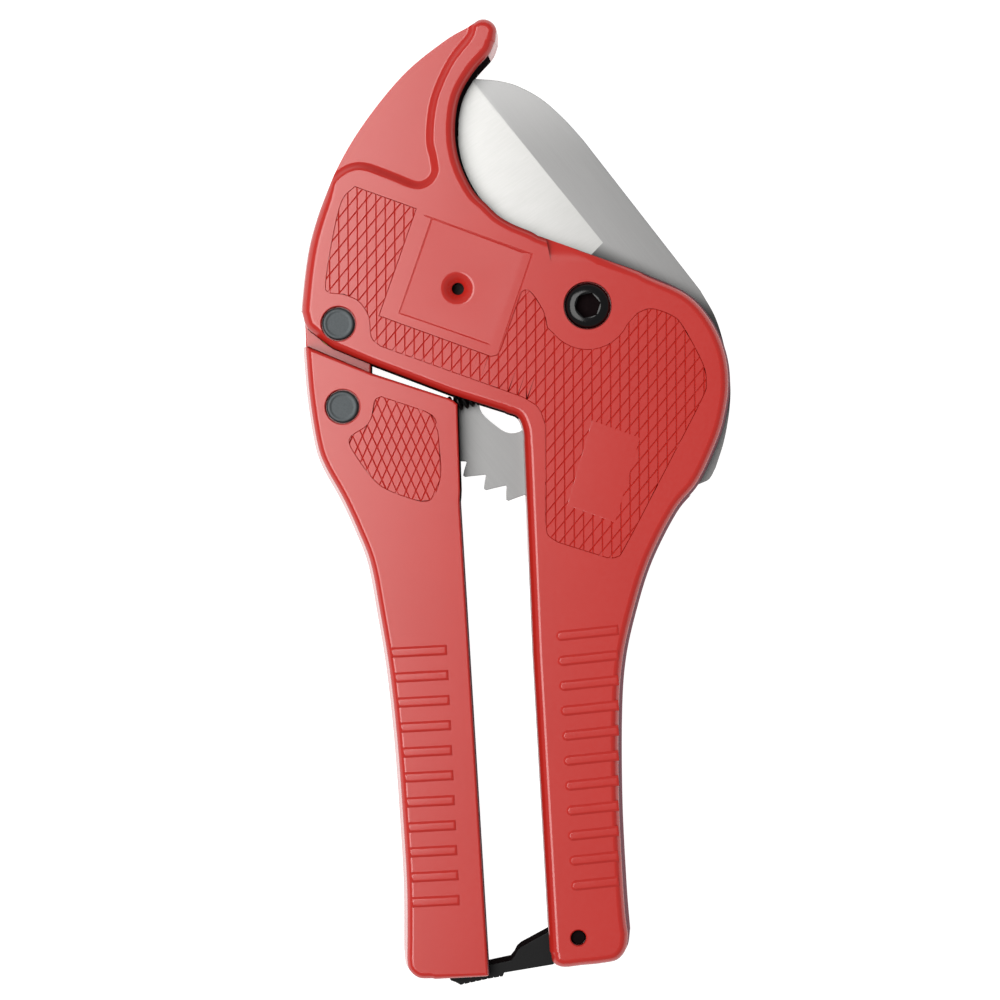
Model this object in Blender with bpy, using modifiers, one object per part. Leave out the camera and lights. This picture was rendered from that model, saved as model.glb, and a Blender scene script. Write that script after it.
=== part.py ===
"""Ratchet pipe cutter for plastic pipe up to 42 mm, lying on its side.

Run with: blender --background --python part.py

The tool lies flat on Z = 0, with its thickness along Z and its length along Y. The hook is at +Y and
the two grips point to -Y. The origin is the middle of the outline, on the surface that it lies on.
Every size below is in millimetres and every angle in degrees, unless the name says otherwise.
"""
import math

import bmesh
import bpy
from mathutils import Matrix, Vector

MM = 0.001

# Pivots, in the plane of the tool
BLADE_PIVOT = (15.7, 43.0)
HANDLE_PIVOT = (-39.0, 39.0)
PAWL_PIVOT = (-38.1, 20.8)
LATCH_PIVOT = (13.7, -95.8)

# Layers through the thickness
THICKNESS = 19.0
CHEEK = 3.5
MIDDLE = THICKNESS / 2
GAP = 0.3
POCKET = (CHEEK, THICKNESS - CHEEK)
BLADE_THICKNESS = 2.5
BLADE_SLOT = 3.5
TONGUE_THICKNESS = 9.4
TONGUE_RADIUS = 7.6
PAWL_THICKNESS = 3.0
LATCH_THICKNESS = 10.4

# Blade
TOOTH_RADIUS = 46.4
TOOTH_DEPTH = 2.9
TOOTH_PITCH = 6.85
FIRST_TOOTH = 220.3
TOOTH_COUNT = 12
DISC_RADIUS = 47.6
WINDOW_RADII = (25.0, 33.5)
WINDOW_ANGLES = (218.0, 240.6)
WINDOW_CORNER = 2.6

# Hardware radii
SCREW_HEAD = 5.0
SCREW_SHANK = 2.9
SCREW_PROUD = 1.1
HEX_KEY = 2.3
NUT_FLATS = 5.0
BUSH = 4.2
BLADE_WASHER = 9.0
RIVET_HEAD = 3.9
HANDLE_SHANK = 2.9
PAWL_SHANK = 1.8
LATCH_SHANK = 1.4
PAD_HOLE = (-12.8, 46.8)
PAD_HOLE_RADIUS = 1.35

# Pawl, seen along its own axis, which points from its pivot to its nose
PAWL_LENGTH = 24.0
PAWL_ANGLE = -28.1
PAWL_HUB = 3.9

# Springs
RETURN_SPRING_START = (-16.0, 21.0)
RETURN_SPRING_ANGLE = 15.0
RETURN_SPRING_LENGTH = 14.0
RETURN_SPRING_Z = 13.4
RETURN_SPRING_RADIUS = 1.45
RETURN_SPRING_TURNS = 10
RETURN_WIRE = 0.4
PAWL_SPRING_RADIUS = 3.7
PAWL_SPRING_TURNS = 3.5
PAWL_WIRE = 0.35

# Outline of the body casting, counter-clockwise from the nose of the hook
HOOK_NOSE = (-7.4, 103.8)
HOOK_NOSE_RADIUS = 3.2
HOOK_BACK = [(-9.1, 106.6), (-17.3, 101.7), (-26.4, 93.5), (-35.1, 82.9), (-41.6, 70.6),
             (-45.8, 57.5), (-47.6, 43.9), (-47.3, 40.2), (-46.3, 37.7), (-44.1, 35.8)]
LOWER_EDGE = [(-40.6, 33.3), (-32.3, 30.1), (-14.6, 23.6), (-2.6, 19.9)]
CROTCH = [(-2.6, 19.9), (0.2, 18.4), (1.4, 15.5), (1.6, 12.1)]
INNER_EDGE = [(3.8, -34.3), (7.6, -99.0)]
HEEL = [(7.6, -99.0), (8.2, -101.9), (10.3, -103.0), (14.7, -102.6), (18.7, -102.2),
        (22.6, -101.3), (24.8, -98.6), (25.4, -94.8)]
OUTER_EDGE = [(25.4, -94.8), (24.6, -84.7), (23.7, -66.6), (23.6, -47.4), (24.4, -35.2),
              (26.7, -24.5), (30.2, -13.4), (35.7, -2.5), (40.5, 3.5), (44.1, 10.8), (46.5, 17.6),
              (47.7, 25.7), (46.7, 33.5), (43.2, 40.9), (37.6, 46.6), (27.4, 51.2)]
JAW_EDGE = [(4.9, 58.9), (-1.5, 61.6), (-5.5, 64.2), (-10.0, 69.6), (-12.7, 75.6), (-13.5, 81.7),
            (-12.4, 88.1), (-9.8, 93.5), (-6.2, 97.8), (-4.5, 100.8)]

# Outline of the moving handle, counter-clockwise from the shoulder under its pivot
HANDLE_OUTER = [(-47.3, 35.3), (-47.0, 31.4), (-46.2, 22.5), (-44.6, 12.7), (-42.8, 7.5),
                (-38.8, 0.3), (-35.5, -6.8), (-32.8, -13.9), (-30.8, -24.5), (-28.7, -37.3),
                (-27.0, -52.9), (-25.7, -70.7), (-24.9, -84.9), (-24.8, -99.3)]
HANDLE_TOE = [(-24.8, -99.3), (-24.2, -103.1), (-21.6, -105.4), (-17.7, -105.6)]
HANDLE_FOOT = [(-6.1, -104.8), (-13.2, 21.1)]
HANDLE_TOP = [(-13.4, 23.1), (-31.7, 28.6), (-46.0, 34.4)]
HANDLE_WEB = 2.8
BODY_WEB = 3.5

# Outline of the blade, counter-clockwise from its point
CUTTING_EDGE = [(-8.4, 93.2), (-15.3, 89.0), (-19.7, 80.2), (-19.5, 71.1), (-15.6, 62.5),
                (-8.5, 54.5), (0.0, 48.9)]
BLADE_THROAT = [(1.5, 41.3), (-1.0, 34.5), (-15.0, 24.4), (-19.9, 20.4)]
BLADE_TAIL = [(41.0, 4.0), (42.9, 5.0)]
BLADE_SPINE = [(44.3, 7.5), (46.2, 13.6), (47.4, 20.7), (47.5, 26.9), (46.4, 33.7), (44.3, 40.7),
               (40.9, 46.8)]
BLADE_SHOULDER = [(14.9, 80.2), (10.9, 84.6), (6.0, 89.0), (0.9, 91.8), (-3.5, 93.5), (-6.3, 93.9)]

# Outline of the latch lever, counter-clockwise from the top of its hub
LATCH_HUB = 4.2
LATCH_ARM = [(7.3, -94.4), (0.7, -98.1), (-0.3, -99.4), (-1.1, -100.7), (-6.2, -101.8),
             (-13.7, -103.5), (-14.7, -105.1), (-14.3, -106.3), (-12.2, -107.1), (-5.9, -105.7),
             (-2.9, -105.2), (-2.6, -104.4), (8.1, -102.6)]

CURVE_STEPS = 4
CIRCLE_SIDES = 24
DISC_SIDES = 72


def polar(centre, radius, angle):
    """Return the point at a radius and an angle from a centre."""
    turn = math.radians(angle)
    return centre[0] + radius * math.cos(turn), centre[1] + radius * math.sin(turn)


def arc(centre, radius, start, end, steps=8):
    """Return points along an arc, with both ends."""
    return [polar(centre, radius, start + (end - start) * i / steps) for i in range(steps + 1)]


def circle(centre, radius):
    """Return a closed circle's points."""
    return arc(centre, radius, 0, 360, CIRCLE_SIDES)[:-1]


def smooth(points, steps=CURVE_STEPS):
    """Return a smooth curve through the points, as a Catmull-Rom spline."""
    spots = [Vector(p) for p in points]
    spots = [2 * spots[0] - spots[1]] + spots + [2 * spots[-1] - spots[-2]]
    path = []
    for before, start, end, after in zip(spots, spots[1:], spots[2:], spots[3:]):
        for i in range(steps):
            t = i / steps
            bend = 2 * before - 5 * start + 4 * end - after
            twist = 3 * start - before - 3 * end + after
            path.append(tuple(0.5 * (2 * start + (end - before) * t + bend * t**2 + twist * t**3)))
    return path + [tuple(spots[-2])]


def chain(*runs):
    """Join runs of points into one closed outline, without points that repeat."""
    outline = []
    for run in runs:
        for point in run:
            if not outline or math.dist(outline[-1], point) > 0.05:
                outline.append(tuple(point))
    return outline


def grow(outline, distance):
    """Move each corner of a counter-clockwise outline outwards by a distance."""
    grown = []
    for i, point in enumerate(outline):
        back = Vector(point) - Vector(outline[i - 1])
        ahead = Vector(outline[(i + 1) % len(outline)]) - Vector(point)
        along = back.normalized() + ahead.normalized()
        outward = Vector((along.y, -along.x)).normalized()
        grown.append(tuple(Vector(point) + outward * distance))
    return grown


def turned(outline, pivot, angle):
    """Turn an outline given about (0, 0) by an angle, and move it to a pivot."""
    turn = Matrix.Rotation(math.radians(angle), 2)
    return [tuple(turn @ Vector(point) + Vector(pivot)) for point in outline]


def body_outline():
    """Return the outer edge of the body casting with its fixed handle and hook."""
    return chain(arc(HOOK_NOSE, HOOK_NOSE_RADIUS, 0, 115, 6), smooth(HOOK_BACK), LOWER_EDGE,
                 smooth(CROTCH), INNER_EDGE, smooth(HEEL), smooth(OUTER_EDGE), smooth(JAW_EDGE))


def handle_outline():
    """Return the outer edge of the moving handle's cheeks."""
    return chain(smooth(HANDLE_OUTER), smooth(HANDLE_TOE), HANDLE_FOOT, HANDLE_TOP)


def tooth_points():
    """Return the ratchet teeth, whose steep faces look towards the moving handle."""
    points = []
    for i in range(TOOTH_COUNT):
        angle = FIRST_TOOTH + i * TOOTH_PITCH
        points.append(polar(BLADE_PIVOT, TOOTH_RADIUS - TOOTH_DEPTH, angle - 1.2))
        points.append(polar(BLADE_PIVOT, TOOTH_RADIUS, angle))
        points.append(polar(BLADE_PIVOT, TOOTH_RADIUS, angle + 0.9))
        points.append(polar(BLADE_PIVOT, TOOTH_RADIUS - 0.8 * TOOTH_DEPTH, angle + 3.6))
    return points


def blade_outline():
    """Return the outer edge of the closed blade."""
    end = FIRST_TOOTH + (TOOTH_COUNT - 1) * TOOTH_PITCH
    teeth = tooth_points()[:-1] + [polar(BLADE_PIVOT, TOOTH_RADIUS, end + 4.5)]
    return chain(smooth(CUTTING_EDGE), BLADE_THROAT, teeth, BLADE_TAIL,
                 smooth(BLADE_SPINE), smooth(BLADE_SHOULDER))


def window_outline():
    """Return the curved window in the blade, with its rounded ends."""
    inner, outer = WINDOW_RADII
    start, end = WINDOW_ANGLES
    reach = WINDOW_CORNER
    loop = []
    for radius, first, last in ((outer - reach, start, end), (inner + reach, end, start)):
        sign = 1 if last > first else -1
        swing = sign * math.degrees(reach / radius)
        centres = [polar(BLADE_PIVOT, radius, first + swing), polar(BLADE_PIVOT, radius, last - swing)]
        edge = radius + sign * reach
        side = 0 if sign > 0 else 180
        loop += arc(centres[0], reach, first - 90 * sign + side, first + side, 4)
        loop += arc(BLADE_PIVOT, edge, first + swing, last - swing, 6)[1:-1]
        loop += arc(centres[1], reach, last + side, last + 90 * sign + side, 4)
    return chain(loop)


def pawl_outline():
    """Return the pawl, a tapered lever whose nose meets the teeth."""
    nose = [(PAWL_LENGTH, 0.0), (PAWL_LENGTH - 1.2, -2.8), (PAWL_LENGTH - 6.0, -3.6)]
    lever = chain(nose[::-1], arc((0, 0), PAWL_HUB, 85, 270, 14))
    return turned(lever, PAWL_PIVOT, PAWL_ANGLE)


def latch_outline():
    """Return the latch lever, from its hub to the tip that lies under the moving handle."""
    return chain(arc(LATCH_PIVOT, LATCH_HUB, -110, 90, 12), LATCH_ARM)


def collection(name):
    """Make a collection in the scene."""
    group = bpy.data.collections.new(name)
    bpy.context.scene.collection.children.link(group)
    return group


def material(name, colour, metallic, roughness):
    """Make a plain material from a linear colour."""
    finish = bpy.data.materials.new(name)
    finish.use_nodes = True
    shader = finish.node_tree.nodes["Principled BSDF"]
    shader.inputs["Base Color"].default_value = (*colour, 1)
    shader.inputs["Metallic"].default_value = metallic
    shader.inputs["Roughness"].default_value = roughness
    return finish


def mesh_of(curve_object, group):
    """Replace a curve object by its closed mesh, in a collection."""
    bpy.context.scene.collection.objects.link(curve_object)
    bpy.context.view_layer.update()
    shape = curve_object.evaluated_get(bpy.context.evaluated_depsgraph_get())
    mesh = bpy.data.meshes.new_from_object(shape)
    surface = bmesh.new()
    surface.from_mesh(mesh)
    bmesh.ops.remove_doubles(surface, verts=surface.verts, dist=0.001 * MM)
    bmesh.ops.recalc_face_normals(surface, faces=surface.faces)
    surface.to_mesh(mesh)
    surface.free()
    name = curve_object.name
    place = curve_object.matrix_world.copy()
    bpy.data.objects.remove(curve_object)
    solid = bpy.data.objects.new(name, mesh)
    solid.matrix_world = place
    group.objects.link(solid)
    return solid


def plate(name, loops, layer, group):
    """Make a flat plate between two heights from an outline and any holes in it."""
    curve = bpy.data.curves.new(name, "CURVE")
    curve.dimensions = "2D"
    curve.fill_mode = "BOTH"
    curve.extrude = (layer[1] - layer[0]) / 2 * MM
    for loop in loops:
        spline = curve.splines.new("POLY")
        spline.points.add(len(loop) - 1)
        for spot, point in zip(spline.points, loop):
            spot.co = (point[0] * MM, point[1] * MM, 0, 1)
        spline.use_cyclic_u = True
    holder = bpy.data.objects.new(name, curve)
    holder.location.z = (layer[0] + layer[1]) / 2 * MM
    return mesh_of(holder, group)


def wire(name, path, radius, group):
    """Make a round wire along a path of points in millimetres."""
    curve = bpy.data.curves.new(name, "CURVE")
    curve.dimensions = "3D"
    curve.bevel_depth = radius * MM
    curve.bevel_resolution = 1
    curve.use_fill_caps = True
    spline = curve.splines.new("POLY")
    spline.points.add(len(path) - 1)
    for spot, point in zip(spline.points, path):
        spot.co = (*(Vector(point) * MM), 1)
    return mesh_of(bpy.data.objects.new(name, curve), group)


def turned_piece(name, profile, centre, group):
    """Turn a closed profile of (radius, height) points round a vertical axis."""
    mesh = bpy.data.meshes.new(name)
    points = [(radius * MM, 0, height * MM) for radius, height in profile]
    edges = [(i, (i + 1) % len(points)) for i in range(len(points))]
    if profile[0][0] == 0 and profile[-1][0] == 0:
        edges.pop()
    mesh.from_pydata(points, edges, [])
    piece = bpy.data.objects.new(name, mesh)
    piece.location = (centre[0] * MM, centre[1] * MM, 0)
    group.objects.link(piece)
    screw = piece.modifiers.new("Turn", "SCREW")
    screw.steps = CIRCLE_SIDES
    screw.render_steps = CIRCLE_SIDES
    screw.use_merge_vertices = True
    screw.merge_threshold = 0.001 * MM
    return piece


def ring(name, centre, radii, layer, group):
    """Make a flat ring, such as a washer, between two heights."""
    return plate(name, [circle(centre, radii[1]), circle(centre, radii[0])], layer, group)


def rivet(name, centre, shank, group):
    """Make a flush rivet with its flat head at the front and its shank through to the back."""
    top = THICKNESS - 0.1
    neck = THICKNESS - 1.8
    profile = [(0, top), (RIVET_HEAD - 0.3, top), (RIVET_HEAD, top - 0.3), (RIVET_HEAD, neck),
               (shank, neck), (shank, 0.6), (0, 0.6)]
    return turned_piece(name, profile, centre, group)


def boolean(solid, tool, operation="DIFFERENCE"):
    """Cut a solid with another one, or join the other one to it."""
    tool.hide_render = True
    tool.display_type = "WIRE"
    step = solid.modifiers.new(tool.name, "BOOLEAN")
    step.operation = operation
    step.solver = "EXACT"
    step.object = tool


def dress(solid, finish):
    """Give a solid its material and smooth round faces."""
    solid.data.materials.append(finish)
    solid.data.shade_smooth()
    solid.data.set_sharp_from_angle(angle=math.radians(35))


def hang(name, pivot, solids, group):
    """Parent the pieces that move together to an empty on their joint's axis."""
    axis = bpy.data.objects.new(name, None)
    axis.location = (pivot[0] * MM, pivot[1] * MM, MIDDLE * MM)
    group.objects.link(axis)
    bpy.context.view_layer.update()
    for solid in solids:
        solid.parent = axis
        solid.matrix_parent_inverse = axis.matrix_world.inverted()


def rivet_seat(solid, name, centre, shank, cutters):
    """Sink a rivet's head and collar into both faces of a casting and bore it for the shank."""
    for side, layer in (("front", (THICKNESS - 2.1, THICKNESS + 1)), ("rear", (-1, 2.1))):
        boolean(solid, plate(f"{name}_{side}_sink", [circle(centre, RIVET_HEAD + GAP)], layer, cutters))
    bore = plate(f"{name}_bore", [circle(centre, shank + GAP)], (-2, THICKNESS + 2), cutters)
    boolean(solid, bore)


def make_body(group, cutters):
    """Make the casting that holds the hook, both cheeks of the head and the fixed handle."""
    body = plate("body_frame", [body_outline()], (0, THICKNESS), group)
    slot = (MIDDLE - BLADE_SLOT / 2, MIDDLE + BLADE_SLOT / 2)
    disc = arc(BLADE_PIVOT, DISC_RADIUS, 0, 360, DISC_SIDES)[:-1]
    boolean(body, plate("slot_disc", [disc], slot, cutters))
    boolean(body, plate("slot_blade", [grow(blade_outline(), 0.6)], slot, cutters))
    head = [(-60, 42.0), (-45, 42.0), (-31, 42.0), (-24, 33), (-16, 31.5), (-1.4, 31.5), (-1.4, 10),
            (-60, 10)]
    boolean(body, plate("head_pocket", [head], POCKET, cutters))
    boolean(body, plate("tongue_pocket", [circle(HANDLE_PIVOT, TONGUE_RADIUS + 0.5)], POCKET, cutters))
    outer = [(x - BODY_WEB, y) for x, y in OUTER_EDGE[6::-1]]
    grip = [*outer, (21.0, -98.5), (19.0, -98.5), (19.0, -110), (-5, -110), (-5, -13.3)]
    boolean(body, plate("grip_pocket", [grip], POCKET, cutters))
    boolean(body, plate("washer_pocket", [circle(BLADE_PIVOT, BLADE_WASHER + 0.5)],
                        (MIDDLE - 2.75, MIDDLE + 2.75), cutters))
    boolean(body, plate("bush_bore", [circle(BLADE_PIVOT, BUSH + GAP)], (3.6, 16.3), cutters))
    boolean(body, plate("screw_bore", [circle(BLADE_PIVOT, SCREW_SHANK + GAP)], (2, 17), cutters))
    boolean(body, plate("head_sink", [circle(BLADE_PIVOT, SCREW_HEAD + 0.5)], (16.6, 20), cutters))
    boolean(body, plate("nut_sink", [hexagon(NUT_FLATS + GAP)], (-1, 3.3), cutters))
    rivet_seat(body, "handle_rivet", HANDLE_PIVOT, HANDLE_SHANK, cutters)
    boolean(body, plate("latch_bore", [circle(LATCH_PIVOT, LATCH_SHANK + GAP)], (-1, 20), cutters))
    boolean(body, plate("pad_hole", [circle(PAD_HOLE, PAD_HOLE_RADIUS)], (14, 20), cutters))
    return body


def hexagon(flats):
    """Return a hexagon round the blade's pivot, from the distance to its flats."""
    return arc(BLADE_PIVOT, flats / math.cos(math.radians(30)), 0, 300, 5)


def make_handle(group, cutters):
    """Make the moving handle, a channel open towards the fixed one, with its pivot tongue."""
    handle = plate("moving_handle", [handle_outline()], (0, THICKNESS), group)
    inner = [(x + HANDLE_WEB, y) for x, y in HANDLE_OUTER[2:]]
    channel = [*inner, (-21.8, -101.5), (-16.2, -101.5), (-16.2, -115), (0, -115), (0, 40),
               (-31.6, 40), (-31.6, 26.3), (-43.0, 26.3)]
    boolean(handle, plate("handle_channel", [channel], POCKET, cutters))
    layer = (MIDDLE - TONGUE_THICKNESS / 2, MIDDLE + TONGUE_THICKNESS / 2)
    root = [(-46.6, 39.0), (-46.6, 31.1), (-46.2, 27.5), (-31.6, 27.5), (-31.6, 30.0), (-32.2, 35.5)]
    tongue = chain(root, arc(HANDLE_PIVOT, TONGUE_RADIUS, 0, 180, 16))
    boolean(handle, plate("tongue", [tongue], layer, cutters), "UNION")
    bore = plate("tongue_bore", [circle(HANDLE_PIVOT, HANDLE_SHANK + GAP)], (3, 16), cutters)
    boolean(handle, bore)
    rivet_seat(handle, "pawl_rivet", PAWL_PIVOT, PAWL_SHANK, cutters)
    seat = turned([(-1.6, -2), (-0.3, -2), (-0.3, 2), (-1.6, 2)], RETURN_SPRING_START,
                  RETURN_SPRING_ANGLE)
    boolean(handle, plate("spring_seat", [seat], (11.4, THICKNESS - CHEEK + 1), cutters), "UNION")
    return handle


def make_blade(group):
    """Make the blade with its ratchet teeth, window and pivot hole."""
    layer = (MIDDLE - BLADE_THICKNESS / 2, MIDDLE + BLADE_THICKNESS / 2)
    loops = [blade_outline(), window_outline(), circle(BLADE_PIVOT, BUSH + GAP)]
    return plate("blade", loops, layer, group)


def make_screw(group, cutters):
    """Make the button head screw that the blade turns on, with its hexagon socket."""
    top = THICKNESS + SCREW_PROUD
    rim = 16.9
    profile = [(0, top), (2.6, top), (4.0, top - 0.5), (SCREW_HEAD, top - 1.7), (SCREW_HEAD, rim),
               (SCREW_SHANK, rim), (SCREW_SHANK, 0.9), (SCREW_SHANK - 0.5, 0.4), (0, 0.4)]
    screw = turned_piece("blade_pivot_screw", profile, BLADE_PIVOT, group)
    boolean(screw, plate("screw_socket", [hexagon(HEX_KEY)], (top - 2, top + 1), cutters))
    return screw


def helix(centre, radius, turns, start, sides=10):
    """Return the points of a coil of one turn's height each, as (across, across, along) in units."""
    count = int(turns * sides)
    return [(centre[0] + radius * math.cos(2 * math.pi * i / sides + start),
             centre[1] + radius * math.sin(2 * math.pi * i / sides + start), i / count)
            for i in range(count + 1)]


def make_return_spring(group):
    """Make the coil spring that pushes the handles apart."""
    turn = math.radians(RETURN_SPRING_ANGLE)
    along = Vector((math.cos(turn), math.sin(turn), 0))
    across = Vector((-math.sin(turn), math.cos(turn), 0))
    up = Vector((0, 0, 1))
    start = Vector((*RETURN_SPRING_START, RETURN_SPRING_Z))
    path = []
    for u, v, w in helix((0, 0), RETURN_SPRING_RADIUS, RETURN_SPRING_TURNS, 0):
        reach = RETURN_WIRE + w * (RETURN_SPRING_LENGTH - 2 * RETURN_WIRE)
        path.append(start + across * u + up * v + along * reach)
    return wire("return_spring", path, RETURN_WIRE, group)


def make_pawl_spring(group):
    """Make the torsion spring round the pawl's pivot, with one leg on the web and one on the pawl."""
    low = 4.2
    height = 3.1
    coil = helix(PAWL_PIVOT, PAWL_SPRING_RADIUS, PAWL_SPRING_TURNS, math.radians(200), 14)
    path = [(x, y, low + height * w) for x, y, w in coil]
    heading = Vector((math.cos(math.radians(PAWL_ANGLE)), math.sin(math.radians(PAWL_ANGLE)), 0))
    below = Vector((heading.y, -heading.x, 0))
    end = Vector((*PAWL_PIVOT, low + height))
    path += [end + below * 5.2 + heading * 8, end + below * 5.2 + heading * 13,
             end + below * 5.2 + heading * 13 + Vector((0, 0, 3.0))]
    x, y = PAWL_PIVOT
    tail = [(x - 1.0, y - 11.0, low), (x - 3.0, y - 6.0, low)]
    return wire("pawl_spring", tail + path, PAWL_WIRE, group)


def main():
    """Build every piece of the pipe cutter."""
    for old in list(bpy.data.objects):
        bpy.data.objects.remove(old)
    group = collection("pipe_cutter")
    cutters = collection("cutters")
    enamel = material("red_enamel", (0.60, 0.09, 0.08), 0.0, 0.35)
    steel = material("ground_steel", (0.42, 0.42, 0.41), 1.0, 0.32)
    dark_steel = material("blackened_steel", (0.05, 0.05, 0.055), 0.9, 0.40)
    black_oxide = material("black_oxide", (0.01, 0.01, 0.01), 0.6, 0.28)
    bronze = material("bronze", (0.45, 0.28, 0.12), 1.0, 0.35)
    spring_steel = material("spring_steel", (0.03, 0.03, 0.03), 0.8, 0.35)
    nylon = material("black_nylon", (0.015, 0.015, 0.016), 0.0, 0.5)

    body = make_body(group, cutters)
    handle = make_handle(group, cutters)
    blade = make_blade(group)
    pawl_layer = (MIDDLE - PAWL_THICKNESS / 2, MIDDLE + PAWL_THICKNESS / 2)
    pawl = plate("pawl", [pawl_outline(), circle(PAWL_PIVOT, PAWL_SHANK + GAP)], pawl_layer, group)
    latch_layer = (MIDDLE - LATCH_THICKNESS / 2, MIDDLE + LATCH_THICKNESS / 2)
    latch = plate("latch_lever", [latch_outline(), circle(LATCH_PIVOT, LATCH_SHANK + GAP)],
                  latch_layer, group)
    for casting in (body, handle):
        dress(casting, enamel)
    for ground in (blade, pawl):
        dress(ground, steel)
    dress(latch, nylon)

    screw = make_screw(group, cutters)
    nut = plate("blade_pivot_nut", [hexagon(NUT_FLATS), circle(BLADE_PIVOT, SCREW_SHANK + GAP)],
                (0.2, 3.0), group)
    bush = ring("blade_pivot_bush", BLADE_PIVOT, (SCREW_SHANK + GAP, BUSH), (3.9, 16.0), group)
    washers = [ring(f"blade_washer_{side}", BLADE_PIVOT, (BUSH + GAP, BLADE_WASHER), layer, group)
               for side, layer in (("rear", (7.05, 7.95)), ("front", (11.05, 11.95)))]
    shims = [ring(f"handle_washer_{side}", HANDLE_PIVOT, (HANDLE_SHANK + GAP, 6.5), layer, group)
             for side, layer in (("rear", (3.8, 4.5)), ("front", (14.5, 15.2)))]
    handle_rivet = rivet("handle_pivot_rivet", HANDLE_PIVOT, HANDLE_SHANK, group)
    pawl_rivet = rivet("pawl_pivot_rivet", PAWL_PIVOT, PAWL_SHANK, group)
    handle_collar = ring("handle_rivet_collar", HANDLE_PIVOT, (HANDLE_SHANK + GAP, RIVET_HEAD),
                         (0.3, 1.8), group)
    pawl_collar = ring("pawl_rivet_collar", PAWL_PIVOT, (PAWL_SHANK + GAP, RIVET_HEAD),
                       (0.3, 1.8), group)
    spacers = [ring(f"pawl_spacer_{side}", PAWL_PIVOT, (PAWL_SHANK + GAP, 3.0), layer, group)
               for side, layer in (("rear", (3.8, 7.7)), ("front", (11.3, 15.2)))]
    latch_pin = plate("latch_pin", [circle(LATCH_PIVOT, LATCH_SHANK)], (0.6, 17.6), group)
    return_spring = make_return_spring(group)
    pawl_spring = make_pawl_spring(group)
    for piece in (screw, nut):
        dress(piece, black_oxide)
    for piece in (bush, *shims):
        dress(piece, bronze)
    for piece in (*washers, *spacers, latch_pin):
        dress(piece, steel)
    for piece in (handle_rivet, pawl_rivet, handle_collar, pawl_collar):
        dress(piece, dark_steel)
    for piece in (return_spring, pawl_spring):
        dress(piece, spring_steel)

    hang("blade_axis", BLADE_PIVOT, [blade], group)
    hang("handle_axis", HANDLE_PIVOT, [handle, pawl_rivet, pawl_collar, *spacers, pawl_spring], group)
    hang("pawl_axis", PAWL_PIVOT, [pawl], group)
    hang("latch_axis", LATCH_PIVOT, [latch], group)


main()
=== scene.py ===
"""Finished looks of a ratchet pipe cutter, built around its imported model.

The tool lies flat with its thickness along Z. Lengths inside the classes are in millimetres, and the
two functions that hand a mesh to Blender turn them to metres.
"""

import logging
import math
from dataclasses import dataclass
from enum import Enum
from typing import Callable

import bmesh
import bpy
from mathutils import Matrix, Vector

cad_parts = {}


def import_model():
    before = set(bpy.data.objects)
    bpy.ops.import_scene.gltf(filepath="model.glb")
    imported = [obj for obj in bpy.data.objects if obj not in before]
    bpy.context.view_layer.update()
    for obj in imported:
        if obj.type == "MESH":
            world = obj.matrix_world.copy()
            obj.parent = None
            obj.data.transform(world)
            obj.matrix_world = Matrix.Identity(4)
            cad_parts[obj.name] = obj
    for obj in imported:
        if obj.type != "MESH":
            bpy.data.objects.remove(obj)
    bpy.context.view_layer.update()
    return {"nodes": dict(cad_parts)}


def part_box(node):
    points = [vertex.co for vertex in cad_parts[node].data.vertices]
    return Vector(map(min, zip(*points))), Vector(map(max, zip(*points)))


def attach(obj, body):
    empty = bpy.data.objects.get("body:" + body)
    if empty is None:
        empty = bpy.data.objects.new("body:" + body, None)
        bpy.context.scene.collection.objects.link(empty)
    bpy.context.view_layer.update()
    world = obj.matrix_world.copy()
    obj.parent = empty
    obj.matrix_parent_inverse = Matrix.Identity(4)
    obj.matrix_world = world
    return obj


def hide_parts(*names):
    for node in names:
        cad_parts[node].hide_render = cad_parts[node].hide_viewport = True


Point = tuple[float, float]
Outline = list[Point]
Ring = list[tuple[float, float, float]]

MM = 0.001
LOG = logging.getLogger("pipe_cutter")
SHARP_ANGLE = 33.0
MITRE_LIMIT = 2.0


class Face(Enum):
    """The two flat faces of a casting."""

    FRONT = 1
    REAR = -1


# Plane geometry


def polar(centre: Point, radius: float, angle: float) -> Point:
    """Find a point from its centre, radius and angle.

    Args:
        centre: the centre, in millimetres.
        radius: the distance from the centre.
        angle: the angle from +X, in degrees.

    Returns:
        The point.
    """
    turn = math.radians(angle)
    return centre[0] + radius * math.cos(turn), centre[1] + radius * math.sin(turn)


def arc(centre: Point, radius: float, start: float, end: float, steps: int = 8) -> Outline:
    """Walk along an arc.

    Args:
        centre: the arc's centre.
        radius: its radius.
        start: its first angle, in degrees.
        end: its last angle, in degrees.
        steps: how many chords it has.

    Returns:
        The points, with both ends.
    """
    return [polar(centre, radius, start + (end - start) * i / steps) for i in range(steps + 1)]


def circle(centre: Point, radius: float, sides: int = 48) -> Outline:
    """Return a closed circle's points, counter-clockwise."""
    return arc(centre, radius, 0, 360, sides)[:-1]


def smooth(points: tuple[Point, ...], steps: int = 8) -> Outline:
    """Draw a smooth curve through points, as a Catmull-Rom spline.

    Args:
        points: the points that the curve passes.
        steps: how many chords each span has.

    Returns:
        The curve's points, with both ends.
    """
    spots = [Vector(p) for p in points]
    spots = [2 * spots[0] - spots[1], *spots, 2 * spots[-1] - spots[-2]]
    path = []
    for before, start, end, after in zip(spots, spots[1:], spots[2:], spots[3:]):
        for i in range(steps):
            t = i / steps
            bend = 2 * before - 5 * start + 4 * end - after
            twist = 3 * start - before - 3 * end + after
            path.append(tuple(0.5 * (2 * start + (end - before) * t + bend * t**2 + twist * t**3)))
    return path + [tuple(spots[-2])]


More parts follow.
